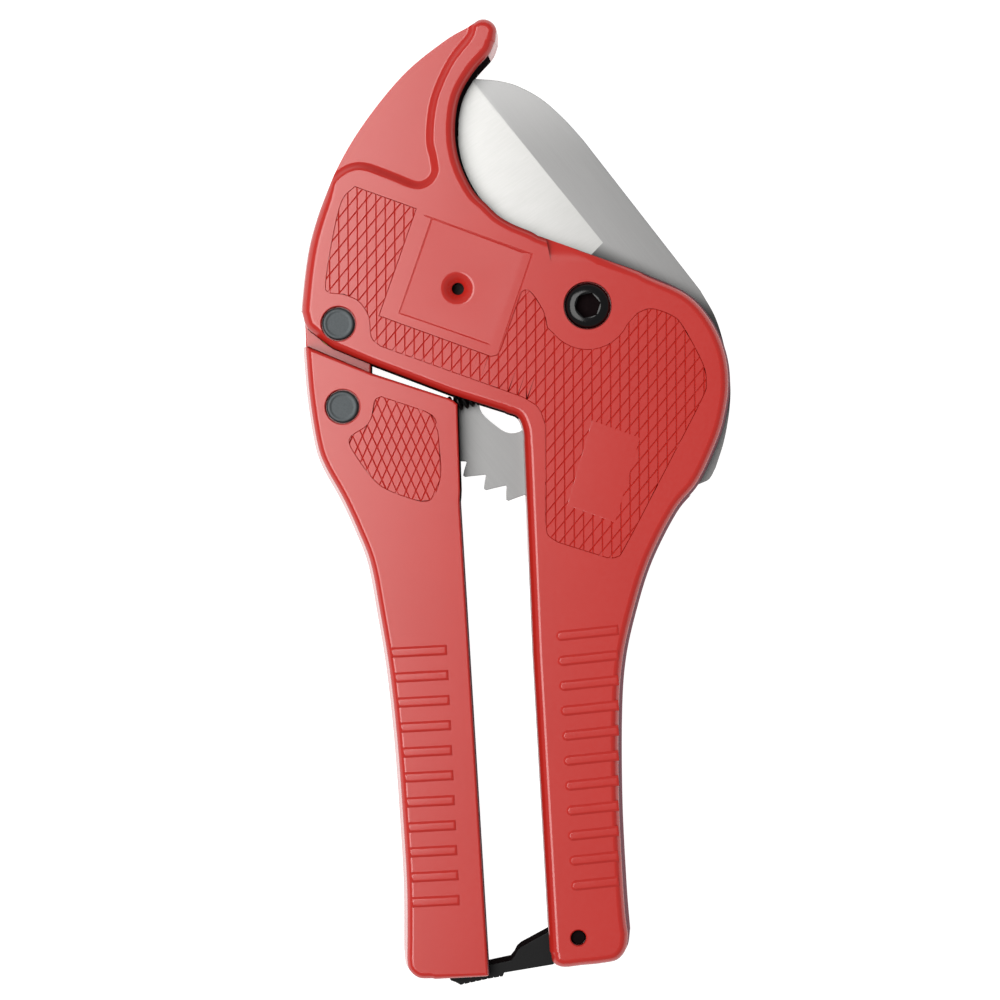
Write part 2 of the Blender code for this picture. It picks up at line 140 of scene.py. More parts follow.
def chain(*runs: Outline) -> Outline:
    """Join runs of points into one closed outline, dropping points that repeat."""
    outline: Outline = []
    for run in runs:
        for point in run:
            if not outline or math.dist(outline[-1], point) > 0.05:
                outline.append(tuple(point))
    return outline


def inset(outline: Outline, amounts: list[float] | float) -> Outline:
    """Move a counter-clockwise outline's edges inwards.

    Args:
        outline: the closed outline.
        amounts: how far each point moves, or one distance for all. A negative one moves outwards.

    Returns:
        The moved outline, with as many points.
    """
    if isinstance(amounts, (int, float)):
        amounts = [amounts] * len(outline)
    moved = []
    for i, point in enumerate(outline):
        back = (Vector(point) - Vector(outline[i - 1])).normalized()
        ahead = (Vector(outline[(i + 1) % len(outline)]) - Vector(point)).normalized()
        along = (back + ahead).normalized()
        inward = Vector((-along.y, along.x))
        stretch = min(MITRE_LIMIT, 1 / max(0.1, along.dot(ahead)))
        moved.append(tuple(Vector(point) + inward * amounts[i] * stretch))
    return moved


def crossing(a: Point, b: Point, c: Point, d: Point) -> Point | None:
    """Return the point where the stretch a-b crosses the stretch c-d, or None."""
    first, second = Vector(b) - Vector(a), Vector(d) - Vector(c)
    spread = first.cross(second)
    if abs(spread) < 1e-9:
        return None
    gap = Vector(c) - Vector(a)
    t, u = gap.cross(second) / spread, gap.cross(first) / spread
    return tuple(Vector(a) + first * t) if 0 <= t <= 1 and 0 <= u <= 1 else None


def untangle(outline: Outline, reach: int = 26) -> Outline:
    """Pull the small loops of an inset outline together.

    Args:
        outline: the closed outline.
        reach: how many points a loop can have.

    Returns:
        The outline with as many points, where the points of a loop share one place.
    """
    points = list(outline)
    count = len(points)
    for i in range(count):
        for span in range(reach, 1, -1):
            j = (i + span) % count
            spot = crossing(points[i], points[(i + 1) % count], points[j], points[(j + 1) % count])
            if spot and points[i] != points[(i + 1) % count]:
                for k in range(1, span + 1):
                    points[(i + k) % count] = spot
                break
    return points


def turned(outline: Outline, pivot: Point, angle: float) -> Outline:
    """Turn an outline drawn about (0, 0) by an angle in degrees, and move it to a pivot."""
    turn = Matrix.Rotation(math.radians(angle), 2)
    return [tuple(turn @ Vector(point) + Vector(pivot)) for point in outline]


def flat_ring(outline: Outline, height: float) -> Ring:
    """Lift an outline to one height."""
    return [(x, y, height) for x, y in outline]


# Mesh work


def make_object(name: str, surface: bmesh.types.BMesh) -> bpy.types.Object:
    """Turn a bmesh in millimetres into an object in metres.

    Args:
        name: the object's name.
        surface: the mesh, which is freed.

    Returns:
        The new object, in the scene.
    """
    bmesh.ops.scale(surface, vec=(MM, MM, MM), verts=surface.verts)
    mesh = bpy.data.meshes.new(name)
    surface.to_mesh(mesh)
    surface.free()
    piece = bpy.data.objects.new(name, mesh)
    bpy.context.scene.collection.objects.link(piece)
    return piece


def loft(name: str, rings: list[Ring]) -> bpy.types.Object:
    """Skin a closed solid over rings of points.

    Args:
        name: the object's name.
        rings: counter-clockwise rings from the lowest to the highest, with as many points each.

    Returns:
        The solid.
    """
    surface = bmesh.new()
    rows = [[surface.verts.new(spot) for spot in ring] for ring in rings]
    surface.faces.new(rows[0][::-1])
    surface.faces.new(rows[-1])
    count = len(rows[0])
    for low, high in zip(rows, rows[1:]):
        for i in range(count):
            j = (i + 1) % count
            surface.faces.new((low[i], low[j], high[j], high[i]))
    bmesh.ops.remove_doubles(surface, verts=surface.verts, dist=0.002)
    return make_object(name, surface)


def prism(name: str, outline: Outline, low: float, high: float) -> bpy.types.Object:
    """Make a straight-sided solid between two heights."""
    return loft(name, [flat_ring(outline, low), flat_ring(outline, high)])


def lathe(name: str, profile: Outline, centre: Point, sides: int = 64) -> bpy.types.Object:
    """Turn a profile round an upright axis.

    Args:
        name: the object's name.
        profile: (radius, height) points from the lowest to the highest, with radius 0 at neither end.
        centre: where the axis stands.
        sides: how many sides the solid has.

    Returns:
        The solid, closed with flat ends.
    """
    return loft(name, [flat_ring(circle(centre, radius, sides), height) for radius, height in profile])


def tube(name: str, path: list[Vector], radius: float) -> bpy.types.Object:
    """Draw a round wire along a path.

    Args:
        name: the object's name.
        path: the wire's centreline, in millimetres.
        radius: the wire's radius.

    Returns:
        The wire, as a closed mesh.
    """
    curve = bpy.data.curves.new(name, "CURVE")
    curve.dimensions = "3D"
    curve.bevel_depth = radius * MM
    curve.bevel_resolution = 3
    curve.use_fill_caps = True
    spline = curve.splines.new("POLY")
    spline.points.add(len(path) - 1)
    for spot, point in zip(spline.points, path):
        spot.co = (*(point * MM), 1)
    holder = bpy.data.objects.new(f"{name}_path", curve)
    bpy.context.scene.collection.objects.link(holder)
    mesh = baked(holder)
    bpy.data.objects.remove(holder)
    surface = bmesh.new()
    surface.from_mesh(mesh)
    bmesh.ops.remove_doubles(surface, verts=surface.verts, dist=0.001 * MM)
    surface.to_mesh(mesh)
    surface.free()
    piece = bpy.data.objects.new(name, mesh)
    bpy.context.scene.collection.objects.link(piece)
    return piece


def baked(piece: bpy.types.Object) -> bpy.types.Mesh:
    """Return a new mesh that holds an object's shape with its modifiers applied."""
    bpy.context.view_layer.update()
    shape = piece.evaluated_get(bpy.context.evaluated_depsgraph_get())
    return bpy.data.meshes.new_from_object(shape)


def carve(piece: bpy.types.Object, tools: list[bpy.types.Object], join: bool = False) -> None:
    """Cut tools out of a solid, or join them to it, and remove the tools.

    Args:
        piece: the solid, whose mesh is replaced.
        tools: closed solids. A face that one leaves behind keeps that tool's material.
        join: True to join the tools instead.
    """
    for tool in tools:
        step = piece.modifiers.new(tool.name, "BOOLEAN")
        step.operation = "UNION" if join else "DIFFERENCE"
        step.solver = "EXACT"
        step.material_mode = "TRANSFER"
        step.object = tool
        mesh = baked(piece)
        piece.modifiers.clear()
        old = piece.data
        piece.data = mesh
        bpy.data.meshes.remove(old)
        bpy.data.objects.remove(tool)


def merged(name: str, parts: list[bpy.types.Object]) -> bpy.types.Object:
    """Put separate solids into one object that can be used as a single tool."""
    surface = bmesh.new()
    for part in parts:
        surface.from_mesh(part.data)
        bpy.data.objects.remove(part)
    bmesh.ops.scale(surface, vec=(1 / MM, 1 / MM, 1 / MM), verts=surface.verts)
    return make_object(name, surface)


def coat_walls(piece: bpy.types.Object, material: bpy.types.Material,
               chosen: Callable[[Vector, Vector], bool]) -> None:
    """Put another finish on some of a piece's upright walls, chosen by direction; here it paints shade on walls that
    face away from the light.

    Args:
        piece: the piece, whose own finish is its first material.
        material: the walls' finish.
        chosen: tells from a wall's outward direction and its place in millimetres if it is coated.
    """
    piece.data.materials.append(material)
    index = len(piece.data.materials) - 1
    for face in piece.data.polygons:
        if face.material_index == 0 and abs(face.normal.z) < 0.2 and chosen(face.normal, face.center / MM):
            face.material_index = index


def shade(piece: bpy.types.Object) -> None:
    """Shade round faces smoothly and keep flat ones flat."""
    piece.data.shade_smooth()
    piece.data.set_sharp_from_angle(angle=math.radians(SHARP_ANGLE))
    weigh = piece.modifiers.new("Weighted normals", "WEIGHTED_NORMAL")
    weigh.keep_sharp = True
    weigh.weight = 100


# Finishes


def linear(colour: str) -> tuple[float, float, float, float]:
    """Turn an sRGB hex colour into linear values with full alpha."""
    parts = [int(colour[i:i + 2], 16) / 255 for i in (1, 3, 5)]
    return (*(c / 12.92 if c <= 0.04045 else ((c + 0.055) / 1.055) ** 2.4 for c in parts), 1.0)


def add_node(tree: bpy.types.NodeTree, kind: str, inputs: dict | None = None, **settings) -> bpy.types.Node:
    """Add a node with its settings, values and links.

    Args:
        tree: the node tree.
        kind: the node's type.
        inputs: a value, or another node's output, for each named or numbered input.
        settings: the node's own properties.

    Returns:
        The node.
    """
    node = tree.nodes.new(kind)
    for key, value in settings.items():
        setattr(node, key, value)
    for key, value in (inputs or {}).items():
        if isinstance(value, bpy.types.NodeSocket):
            tree.links.new(value, node.inputs[key])
        else:
            node.inputs[key].default_value = value
    return node


@dataclass(frozen=True)
class Finish:
    """A surface finish, with the values of its plain shader."""

    name: str
    colour: str
    metallic: float
    roughness: float
    ior: float = 1.5

    def build(self) -> bpy.types.Material:
        """Make the material.

        Returns:
            The material, with its shader's own values set and its pattern linked.
        """
        material = bpy.data.materials.new(self.name)
        material.use_nodes = True
        tree = material.node_tree
        shader = tree.nodes["Principled BSDF"]
        shader.inputs["Base Color"].default_value = linear(self.colour)
        shader.inputs["Metallic"].default_value = self.metallic
        shader.inputs["Roughness"].default_value = self.roughness
        if self.metallic < 1:
            shader.inputs["IOR"].default_value = self.ior
        place = add_node(tree, "ShaderNodeTexCoord").outputs["Object"]
        self.pattern(tree, shader, place)
        return material

    def pattern(self, tree: bpy.types.NodeTree, shader: bpy.types.Node, place: bpy.types.NodeSocket) -> None:
        """Link the finish's pattern to its shader.

        Args:
            tree: the material's nodes.
            shader: its Principled shader.
            place: the point on the object, in metres.
        """


@dataclass(frozen=True)
class SprayedEnamel(Finish):
    """Stoved enamel sprayed on die-cast aluminium: deep even colour under a soft gloss with a faint peel."""

    shade_colour: str = "#A82019"
    peel_mm: float = 0.9
    cloud_mm: float = 14.0
    coat: float = 0.0
    coat_roughness: float = 0.22

    def pattern(self, tree: bpy.types.NodeTree, shader: bpy.types.Node, place: bpy.types.NodeSocket) -> None:
        """Link slow clouds in the colour, a fine change of gloss and the peel's ripple."""
        shader.inputs["Coat Weight"].default_value = self.coat
        shader.inputs["Coat Roughness"].default_value = self.coat_roughness
        cloud = add_node(tree, "ShaderNodeTexNoise", {"Vector": place, "Scale": 1 / (self.cloud_mm * MM),
                                                      "Detail": 3.0, "Roughness": 0.55})
        tone = add_node(tree, "ShaderNodeMix", {"Factor": cloud.outputs["Fac"], "A": linear(self.colour),
                                                "B": linear(self.shade_colour)}, data_type="RGBA")
        link_colour(tree, shader, tone)
        peel = add_node(tree, "ShaderNodeTexNoise", {"Vector": place, "Scale": 1 / (self.peel_mm * MM),
                                                     "Detail": 2.0})
        gloss = add_node(tree, "ShaderNodeMapRange", {"Value": peel.outputs["Fac"], "To Min": self.roughness - 0.03,
                                                      "To Max": self.roughness + 0.03})
        tree.links.new(gloss.outputs["Result"], shader.inputs["Roughness"])
        bump = add_node(tree, "ShaderNodeBump", {"Height": peel.outputs["Fac"], "Strength": 0.05,
                                                 "Distance": 0.04 * MM})
        tree.links.new(bump.outputs["Normal"], shader.inputs["Normal"])


@dataclass(frozen=True)
class GroundSteel(Finish):
    """Steel finished on an abrasive belt: straight fine scratches that draw the highlight out sideways."""

    scratch_mm: float = 0.12
    length_mm: float = 9.0
    angle: float = 0.0
    dark_colour: str = "#7E7E7C"
    contrast: float = 0.5
    cheek_shadow_painted: bool = False
    sheen_paint_colour: str = ""
    sheen_span_mm: tuple[float, float] = (0.0, 1.0)

    def pattern(self, tree: bpy.types.NodeTree, shader: bpy.types.Node, place: bpy.types.NodeSocket) -> None:
        """Link long noise along the grain to the colour, the roughness and a shallow bump."""
        scale = (1 / (self.length_mm * MM), 1 / (self.scratch_mm * MM), 1 / (self.scratch_mm * MM))
        turn = (0.0, 0.0, math.radians(-self.angle))
        grain_place = add_node(tree, "ShaderNodeVectorRotate", {"Vector": place, "Rotation": turn},
                               rotation_type="EULER_XYZ")
        along = add_node(tree, "ShaderNodeVectorMath", {0: grain_place.outputs["Vector"], 1: scale},
                         operation="MULTIPLY")
        grain = add_node(tree, "ShaderNodeTexNoise", {"Vector": along.outputs["Vector"], "Scale": 1.0,
                                                      "Detail": 4.0, "Roughness": 0.6})
        tone = add_node(tree, "ShaderNodeMapRange", {"Value": grain.outputs["Fac"], "From Min": 0.3,
                                                     "From Max": 0.7, "To Max": self.contrast})
        mix = add_node(tree, "ShaderNodeMix", {"Factor": tone.outputs["Result"], "A": linear(self.colour),
                                               "B": linear(self.dark_colour)}, data_type="RGBA")
        # Painted highlight: the colour grows lighter towards the top of the tool between the given heights
        if self.sheen_paint_colour:
            height = add_node(tree, "ShaderNodeSeparateXYZ", {"Vector": place}).outputs["Y"]
            fade = add_node(tree, "ShaderNodeMapRange", {"Value": height, "From Min": self.sheen_span_mm[0] * MM,
                                                         "From Max": self.sheen_span_mm[1] * MM},
                            interpolation_type="SMOOTHSTEP")
            near = next(o for o in mix.outputs if o.type == "RGBA" and o.enabled)
            mix = add_node(tree, "ShaderNodeMix", {"Factor": fade.outputs["Result"], "A": near,
                                                   "B": linear(self.sheen_paint_colour)}, data_type="RGBA")
        # Painted shadow of the cheek, as a dark band on the blade
        if self.cheek_shadow_painted:
            mix = self.paint_cheek_shadow(tree, place, next(o for o in mix.outputs if o.type == "RGBA" and o.enabled))
        link_colour(tree, shader, mix)
        rough = add_node(tree, "ShaderNodeMapRange", {"Value": grain.outputs["Fac"],
                                                      "To Min": self.roughness - 0.03,
                                                      "To Max": self.roughness + 0.04})
        tree.links.new(rough.outputs["Result"], shader.inputs["Roughness"])
        bump = add_node(tree, "ShaderNodeBump", {"Height": grain.outputs["Fac"], "Strength": 0.05,
                                                 "Distance": 0.01 * MM})
        tree.links.new(bump.outputs["Normal"], shader.inputs["Normal"])


    def paint_cheek_shadow(self, tree: bpy.types.NodeTree, place: bpy.types.NodeSocket,
              unshadowed: bpy.types.NodeSocket) -> bpy.types.Node:
        """Paint the shadow that the cheek casts on the blade, a dark band along the casting's edge.

        Args:
            tree: the material's nodes.
            place: the point on the object, in metres.
            unshadowed: the colour without the painted shadow.

        Returns:
            The node that mixes the two colours.
        """
        across = add_node(tree, "ShaderNodeVectorMath", {0: place, 1: (0.45 / MM, 0.89 / MM, 0.0)},
                          operation="DOT_PRODUCT")
        offset = add_node(tree, "ShaderNodeMath", {0: across.outputs["Value"], 1: -48.8}, operation="ADD")
        away = add_node(tree, "ShaderNodeMath", {0: offset.outputs["Value"]}, operation="ABSOLUTE")
        fade = add_node(tree, "ShaderNodeMapRange", {"Value": away.outputs["Value"], "From Min": 7.0,
                                                     "From Max": 11.5, "To Min": 0.85, "To Max": 0.0},
                        interpolation_type="SMOOTHSTEP")
        # Painted shadow: the band darkens towards #303030 near the cheek's edge
        return add_node(tree, "ShaderNodeMix", {"Factor": fade.outputs["Result"], "A": unshadowed,
                                                "B": linear("#303030")}, data_type="RGBA")


@dataclass(frozen=True)
class SpeckledFinish(Finish):
    """A fine-grained surface, such as phosphated steel or moulded nylon: small soft specks, no direction."""

    fleck_colour: str = "#808080"
    grain_mm: float = 0.3
    contrast: float = 0.3
    bump: float = 0.15

    def pattern(self, tree: bpy.types.NodeTree, shader: bpy.types.Node, place: bpy.types.NodeSocket) -> None:
        """Link the grain to the colour, the roughness and the bump."""
        grain = add_node(tree, "ShaderNodeTexNoise", {"Vector": place, "Scale": 1 / (self.grain_mm * MM),
                                                      "Detail": 5.0, "Roughness": 0.65})
        tone = add_node(tree, "ShaderNodeMapRange", {"Value": grain.outputs["Fac"], "From Min": 0.35,
                                                     "From Max": 0.75, "To Max": self.contrast})
        mix = add_node(tree, "ShaderNodeMix", {"Factor": tone.outputs["Result"], "A": linear(self.colour),
                                               "B": linear(self.fleck_colour)}, data_type="RGBA")
        link_colour(tree, shader, mix)
        rough = add_node(tree, "ShaderNodeMapRange", {"Value": grain.outputs["Fac"],
                                                      "To Min": self.roughness - 0.05,
                                                      "To Max": self.roughness + 0.08})
        tree.links.new(rough.outputs["Result"], shader.inputs["Roughness"])
        bump = add_node(tree, "ShaderNodeBump", {"Height": grain.outputs["Fac"], "Strength": self.bump,
                                                 "Distance": 0.04 * MM})
        tree.links.new(bump.outputs["Normal"], shader.inputs["Normal"])


def link_colour(tree: bpy.types.NodeTree, shader: bpy.types.Node, mix: bpy.types.Node) -> None:
    """Link a colour mix's result to a shader's base colour."""
    result = next(o for o in mix.outputs if o.type == "RGBA" and o.enabled)
    tree.links.new(result, shader.inputs["Base Color"])


class Finishes:
    """Every material of the tool, made once."""

    def __init__(self) -> None:
        """Build the materials."""
        # Red stoved enamel over die-cast aluminium: a milky soft highlight over a warm red
        self.enamel = SprayedEnamel("sprayed_red_enamel", "#AE241D", 0.0, 0.215).build()
        # Painted shade inside the castings' slot, pockets and bores: almost black, dull
        self.hollow_shade = SpeckledFinish("painted_hollow_shade", "#2A1A19", 0.2, 0.7, fleck_colour="#140D0D",
                                     grain_mm=0.8, contrast=0.6).build()
        # Painted shade on the castings' inner walls, the latch walls, the latch pin and the screw socket: nearly
        # black, dead matt
        self.black_shade_paint = SpeckledFinish("painted_black_shade", "#160F10", 0.0, 0.9, ior=1.02, fleck_colour="#0C0809",
                                   grain_mm=0.8, contrast=0.6).build()
        # Painted shade with a painted violet reflection on the outer walls that face right: dull violet grey
        self.violet_wall_shade = SpeckledFinish("painted_violet_wall_shade", "#7C4F56", 0.0, 0.85, ior=1.1, fleck_colour="#6C444C",
                                     grain_mm=1.5, contrast=0.5, bump=0.05).build()
        # Tool steel ground flat on a belt: mid grey, satin, grain along the blade, with a painted highlight lighter
        # towards the top and a painted shadow of the cheek
        self.plate = GroundSteel("belt_ground_tool_steel", "#767676", 1.0, 0.44, angle=-52.0, dark_colour="#6E6E6E",
                                 contrast=0.4, sheen_paint_colour="#8C8C8C", sheen_span_mm=(74.0, 96.0), cheek_shadow_painted=True).build()
        # The cutting bevel, ground finer across the edge: paler and more even
        self.bevel = GroundSteel("fine_ground_bevel", "#8A8A89", 1.0, 0.36, angle=35.0, dark_colour="#80807F",
                                 scratch_mm=0.25, length_mm=16.0, contrast=0.35).build()
        # Manganese phosphate on the rivets: dark slate grey with a fine dull grain
        self.rivet = SpeckledFinish("phosphated_steel", "#3B3F41", 0.75, 0.44, fleck_colour="#2B2E30",
                                    grain_mm=0.35, contrast=0.5).build()
        # Oiled black oxide on the screw and nut: deep black with a wet gloss
        self.oxide = SpeckledFinish("oiled_black_oxide", "#060607", 0.0, 0.15, ior=1.32, fleck_colour="#101011",
                                    grain_mm=0.5, contrast=0.3, bump=0.05).build()
        # Tempered spring wire, oiled: black with thin bright lines
        self.wire = SpeckledFinish("oiled_spring_steel", "#161616", 0.7, 0.34, fleck_colour="#2A2A2A",
                                   grain_mm=0.6, contrast=0.3, bump=0.05).build()
        # Glass-filled nylon, moulded with a spark-eroded grain: soft charcoal black
        self.nylon = SpeckledFinish("moulded_black_nylon", "#0A0A0B", 0.0, 0.62, ior=1.25, grain_mm=0.22,
                                    fleck_colour="#1C1D1E", contrast=0.6, bump=0.35).build()
        # Sintered bronze bushes and shims: warm matt brown gold
        self.bronze = SpeckledFinish("sintered_bronze", "#A8804A", 1.0, 0.45, fleck_colour="#7B5A30",
                                     grain_mm=0.2, contrast=0.5).build()
        # Zinc plated washers, spacers and pins: cool pale grey, bright
        self.zinc = SpeckledFinish("zinc_plated_steel", "#C9CCCF", 1.0, 0.30, fleck_colour="#A9ADB2",
                                   grain_mm=1.2, contrast=0.4, bump=0.05).build()

    def dress(self, piece: bpy.types.Object, material: bpy.types.Material) -> None:
        """Give a piece one material."""
        piece.data.materials.clear()
        piece.data.materials.append(material)


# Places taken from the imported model


@dataclass(frozen=True)
class Layout:
    """Pivots and layers, in millimetres."""

    blade: Point
    handle: Point
    pawl: Point
    latch: Point
    rear: float
    front: float

    @property
    def middle(self) -> float:
        """The height of the middle plane."""
        return (self.rear + self.front) / 2

    @classmethod
    def from_frame(cls) -> "Layout":
        """Read the pivots from the pins' boxes and the layers from the body's box."""
        low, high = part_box("body_frame")
        return cls(blade=plan_centre("blade_pivot_bush"), handle=plan_centre("handle_pivot_rivet"),
                   pawl=plan_centre("pawl_pivot_rivet"), latch=plan_centre("latch_pin"),
                   rear=low.z / MM, front=high.z / MM)


def plan_centre(node: str) -> Point:
    """Return the middle of a CAD node's box, seen from above, in millimetres."""
    low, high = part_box(node)
    return round((low.x + high.x) / 2 / MM, 3), round((low.y + high.y) / 2 / MM, 3)


@dataclass(frozen=True)
class Run:
    """A stretch of a casting's edge, with the radius that rounds it and its draft."""

    points: Outline
    fillet: float
    draft: float


def eased(values: list[float], times: int = 3) -> list[float]:
    """Even out steps between neighbours on a closed run of values."""
    for _ in range(times):
        values = [(values[i - 1] + 2 * values[i] + values[(i + 1) % len(values)]) / 4
                  for i in range(len(values))]
    return values


def cast_block(name: str, runs: list[Run], layout: Layout) -> bpy.types.Object:
    """Make a casting's outer form, drafted from its parting line and rounded at both faces.

    Args:
        name: the object's name.
        runs: the stretches of its edge, counter-clockwise.
        layout: the tool's layers.

    Returns:
        The closed solid.
    """
    outline: Outline = []
    fillets: list[float] = []
    drafts: list[float] = []
    for run in runs:
        for point in run.points:
            if not outline or math.dist(outline[-1], point) > 0.05:
                outline.append(tuple(point))
                fillets.append(run.fillet)
                drafts.append(run.draft)
    fillets, drafts = eased(fillets), eased(drafts)
    half = (layout.front - layout.rear) / 2
    front_rings = []
    for part in (0.0, 0.12, 0.28, 0.46, 0.66, 0.84, 1.0):
        rise = [half - 0.9 * r * (1 - part) ** 2.4 for r in fillets]
        depth = [d * h / half + 0.95 * r * part for h, r, d in zip(rise, fillets, drafts)]
        front_rings.append((untangle(inset(outline, depth)), rise))
    rings = [[(x, y, layout.middle - h) for (x, y), h in zip(*ring)] for ring in reversed(front_rings)]
    rings.append(flat_ring(outline, layout.middle))
    rings += [[(x, y, layout.middle + h) for (x, y), h in zip(*ring)] for ring in front_rings]
    return loft(name, rings)


@dataclass
class Knurl:
    """A patch of diamond knurling with a groove round it, sunk flush into a casting's face."""

    name: str
    outline: Outline
    families: tuple[tuple[float, float], ...]
    depth: float = 0.18
    flank: float = 0.16
    body: float = 0.9
    border: float = 0.02
    smallest: float = 0.5
    shift: float = 0.45

    def pocket(self, layout: Layout, face: Face) -> bpy.types.Object:
        """Make the tool that clears room for the patch in a face."""
        level = layout.front if face is Face.FRONT else layout.rear
        edge = inset(self.outline, -self.border)
        low, high = sorted((level - face.value * (self.body + 0.1), level + face.value))
        return prism(f"{self.name}_pocket", edge, low, high)

    def build(self, layout: Layout, face: Face) -> bpy.types.Object:
        """Make the patch.

        Args:
            layout: the tool's layers.
            face: the face that it lies in.

        Returns:
            The closed patch, its diamonds just below the face.
        """
        surface = bmesh.new()
        surface.faces.new([surface.verts.new((x, y, 0)) for x, y in self.outline])
        for angle, pitch in self.families:
            self.score(surface, angle, pitch)
        floor = list(surface.faces)
        raised = bmesh.ops.extrude_face_region(surface, geom=floor)["geom"]
        tops = [item for item in raised if isinstance(item, bmesh.types.BMFace)]
        lift = self.body - self.depth
        bmesh.ops.translate(surface, vec=(0, 0, lift),
                            verts=[item for item in raised if isinstance(item, bmesh.types.BMVert)])
        bmesh.ops.reverse_faces(surface, faces=[f for f in floor if f.is_valid])
        bmesh.ops.dissolve_faces(surface, faces=[f for f in floor if f.is_valid])
        cells = [f for f in tops if f.calc_area() > self.smallest]
        bmesh.ops.inset_individual(surface, faces=cells, thickness=self.flank, depth=self.depth,
                                   use_even_offset=True)
        bmesh.ops.recalc_face_normals(surface, faces=surface.faces)
        level = layout.front if face is Face.FRONT else layout.rear
        for vert in surface.verts:
            vert.co.z = level + face.value * (vert.co.z - self.body - 0.02)
        if face is Face.REAR:
            bmesh.ops.reverse_faces(surface, faces=surface.faces)
        return make_object(self.name, surface)

    def score(self, surface: bmesh.types.BMesh, angle: float, pitch: float) -> None:
        """Split the sheet along parallel lines.

        Args:
            surface: the flat sheet.
            angle: the lines' direction, in degrees.
            pitch: the distance between lines.
        """
        turn = math.radians(angle)
        across = Vector((-math.sin(turn), math.cos(turn), 0))
        reach = [across.dot(vert.co) for vert in surface.verts]
        shift = across.x * self.shift
        for k in range(math.ceil((min(reach) - shift) / pitch), math.floor((max(reach) - shift) / pitch) + 1):
            everything = surface.verts[:] + surface.edges[:] + surface.faces[:]
            bmesh.ops.bisect_plane(surface, geom=everything, dist=0.0001,
                                   plane_co=across * (k * pitch + shift), plane_no=across)


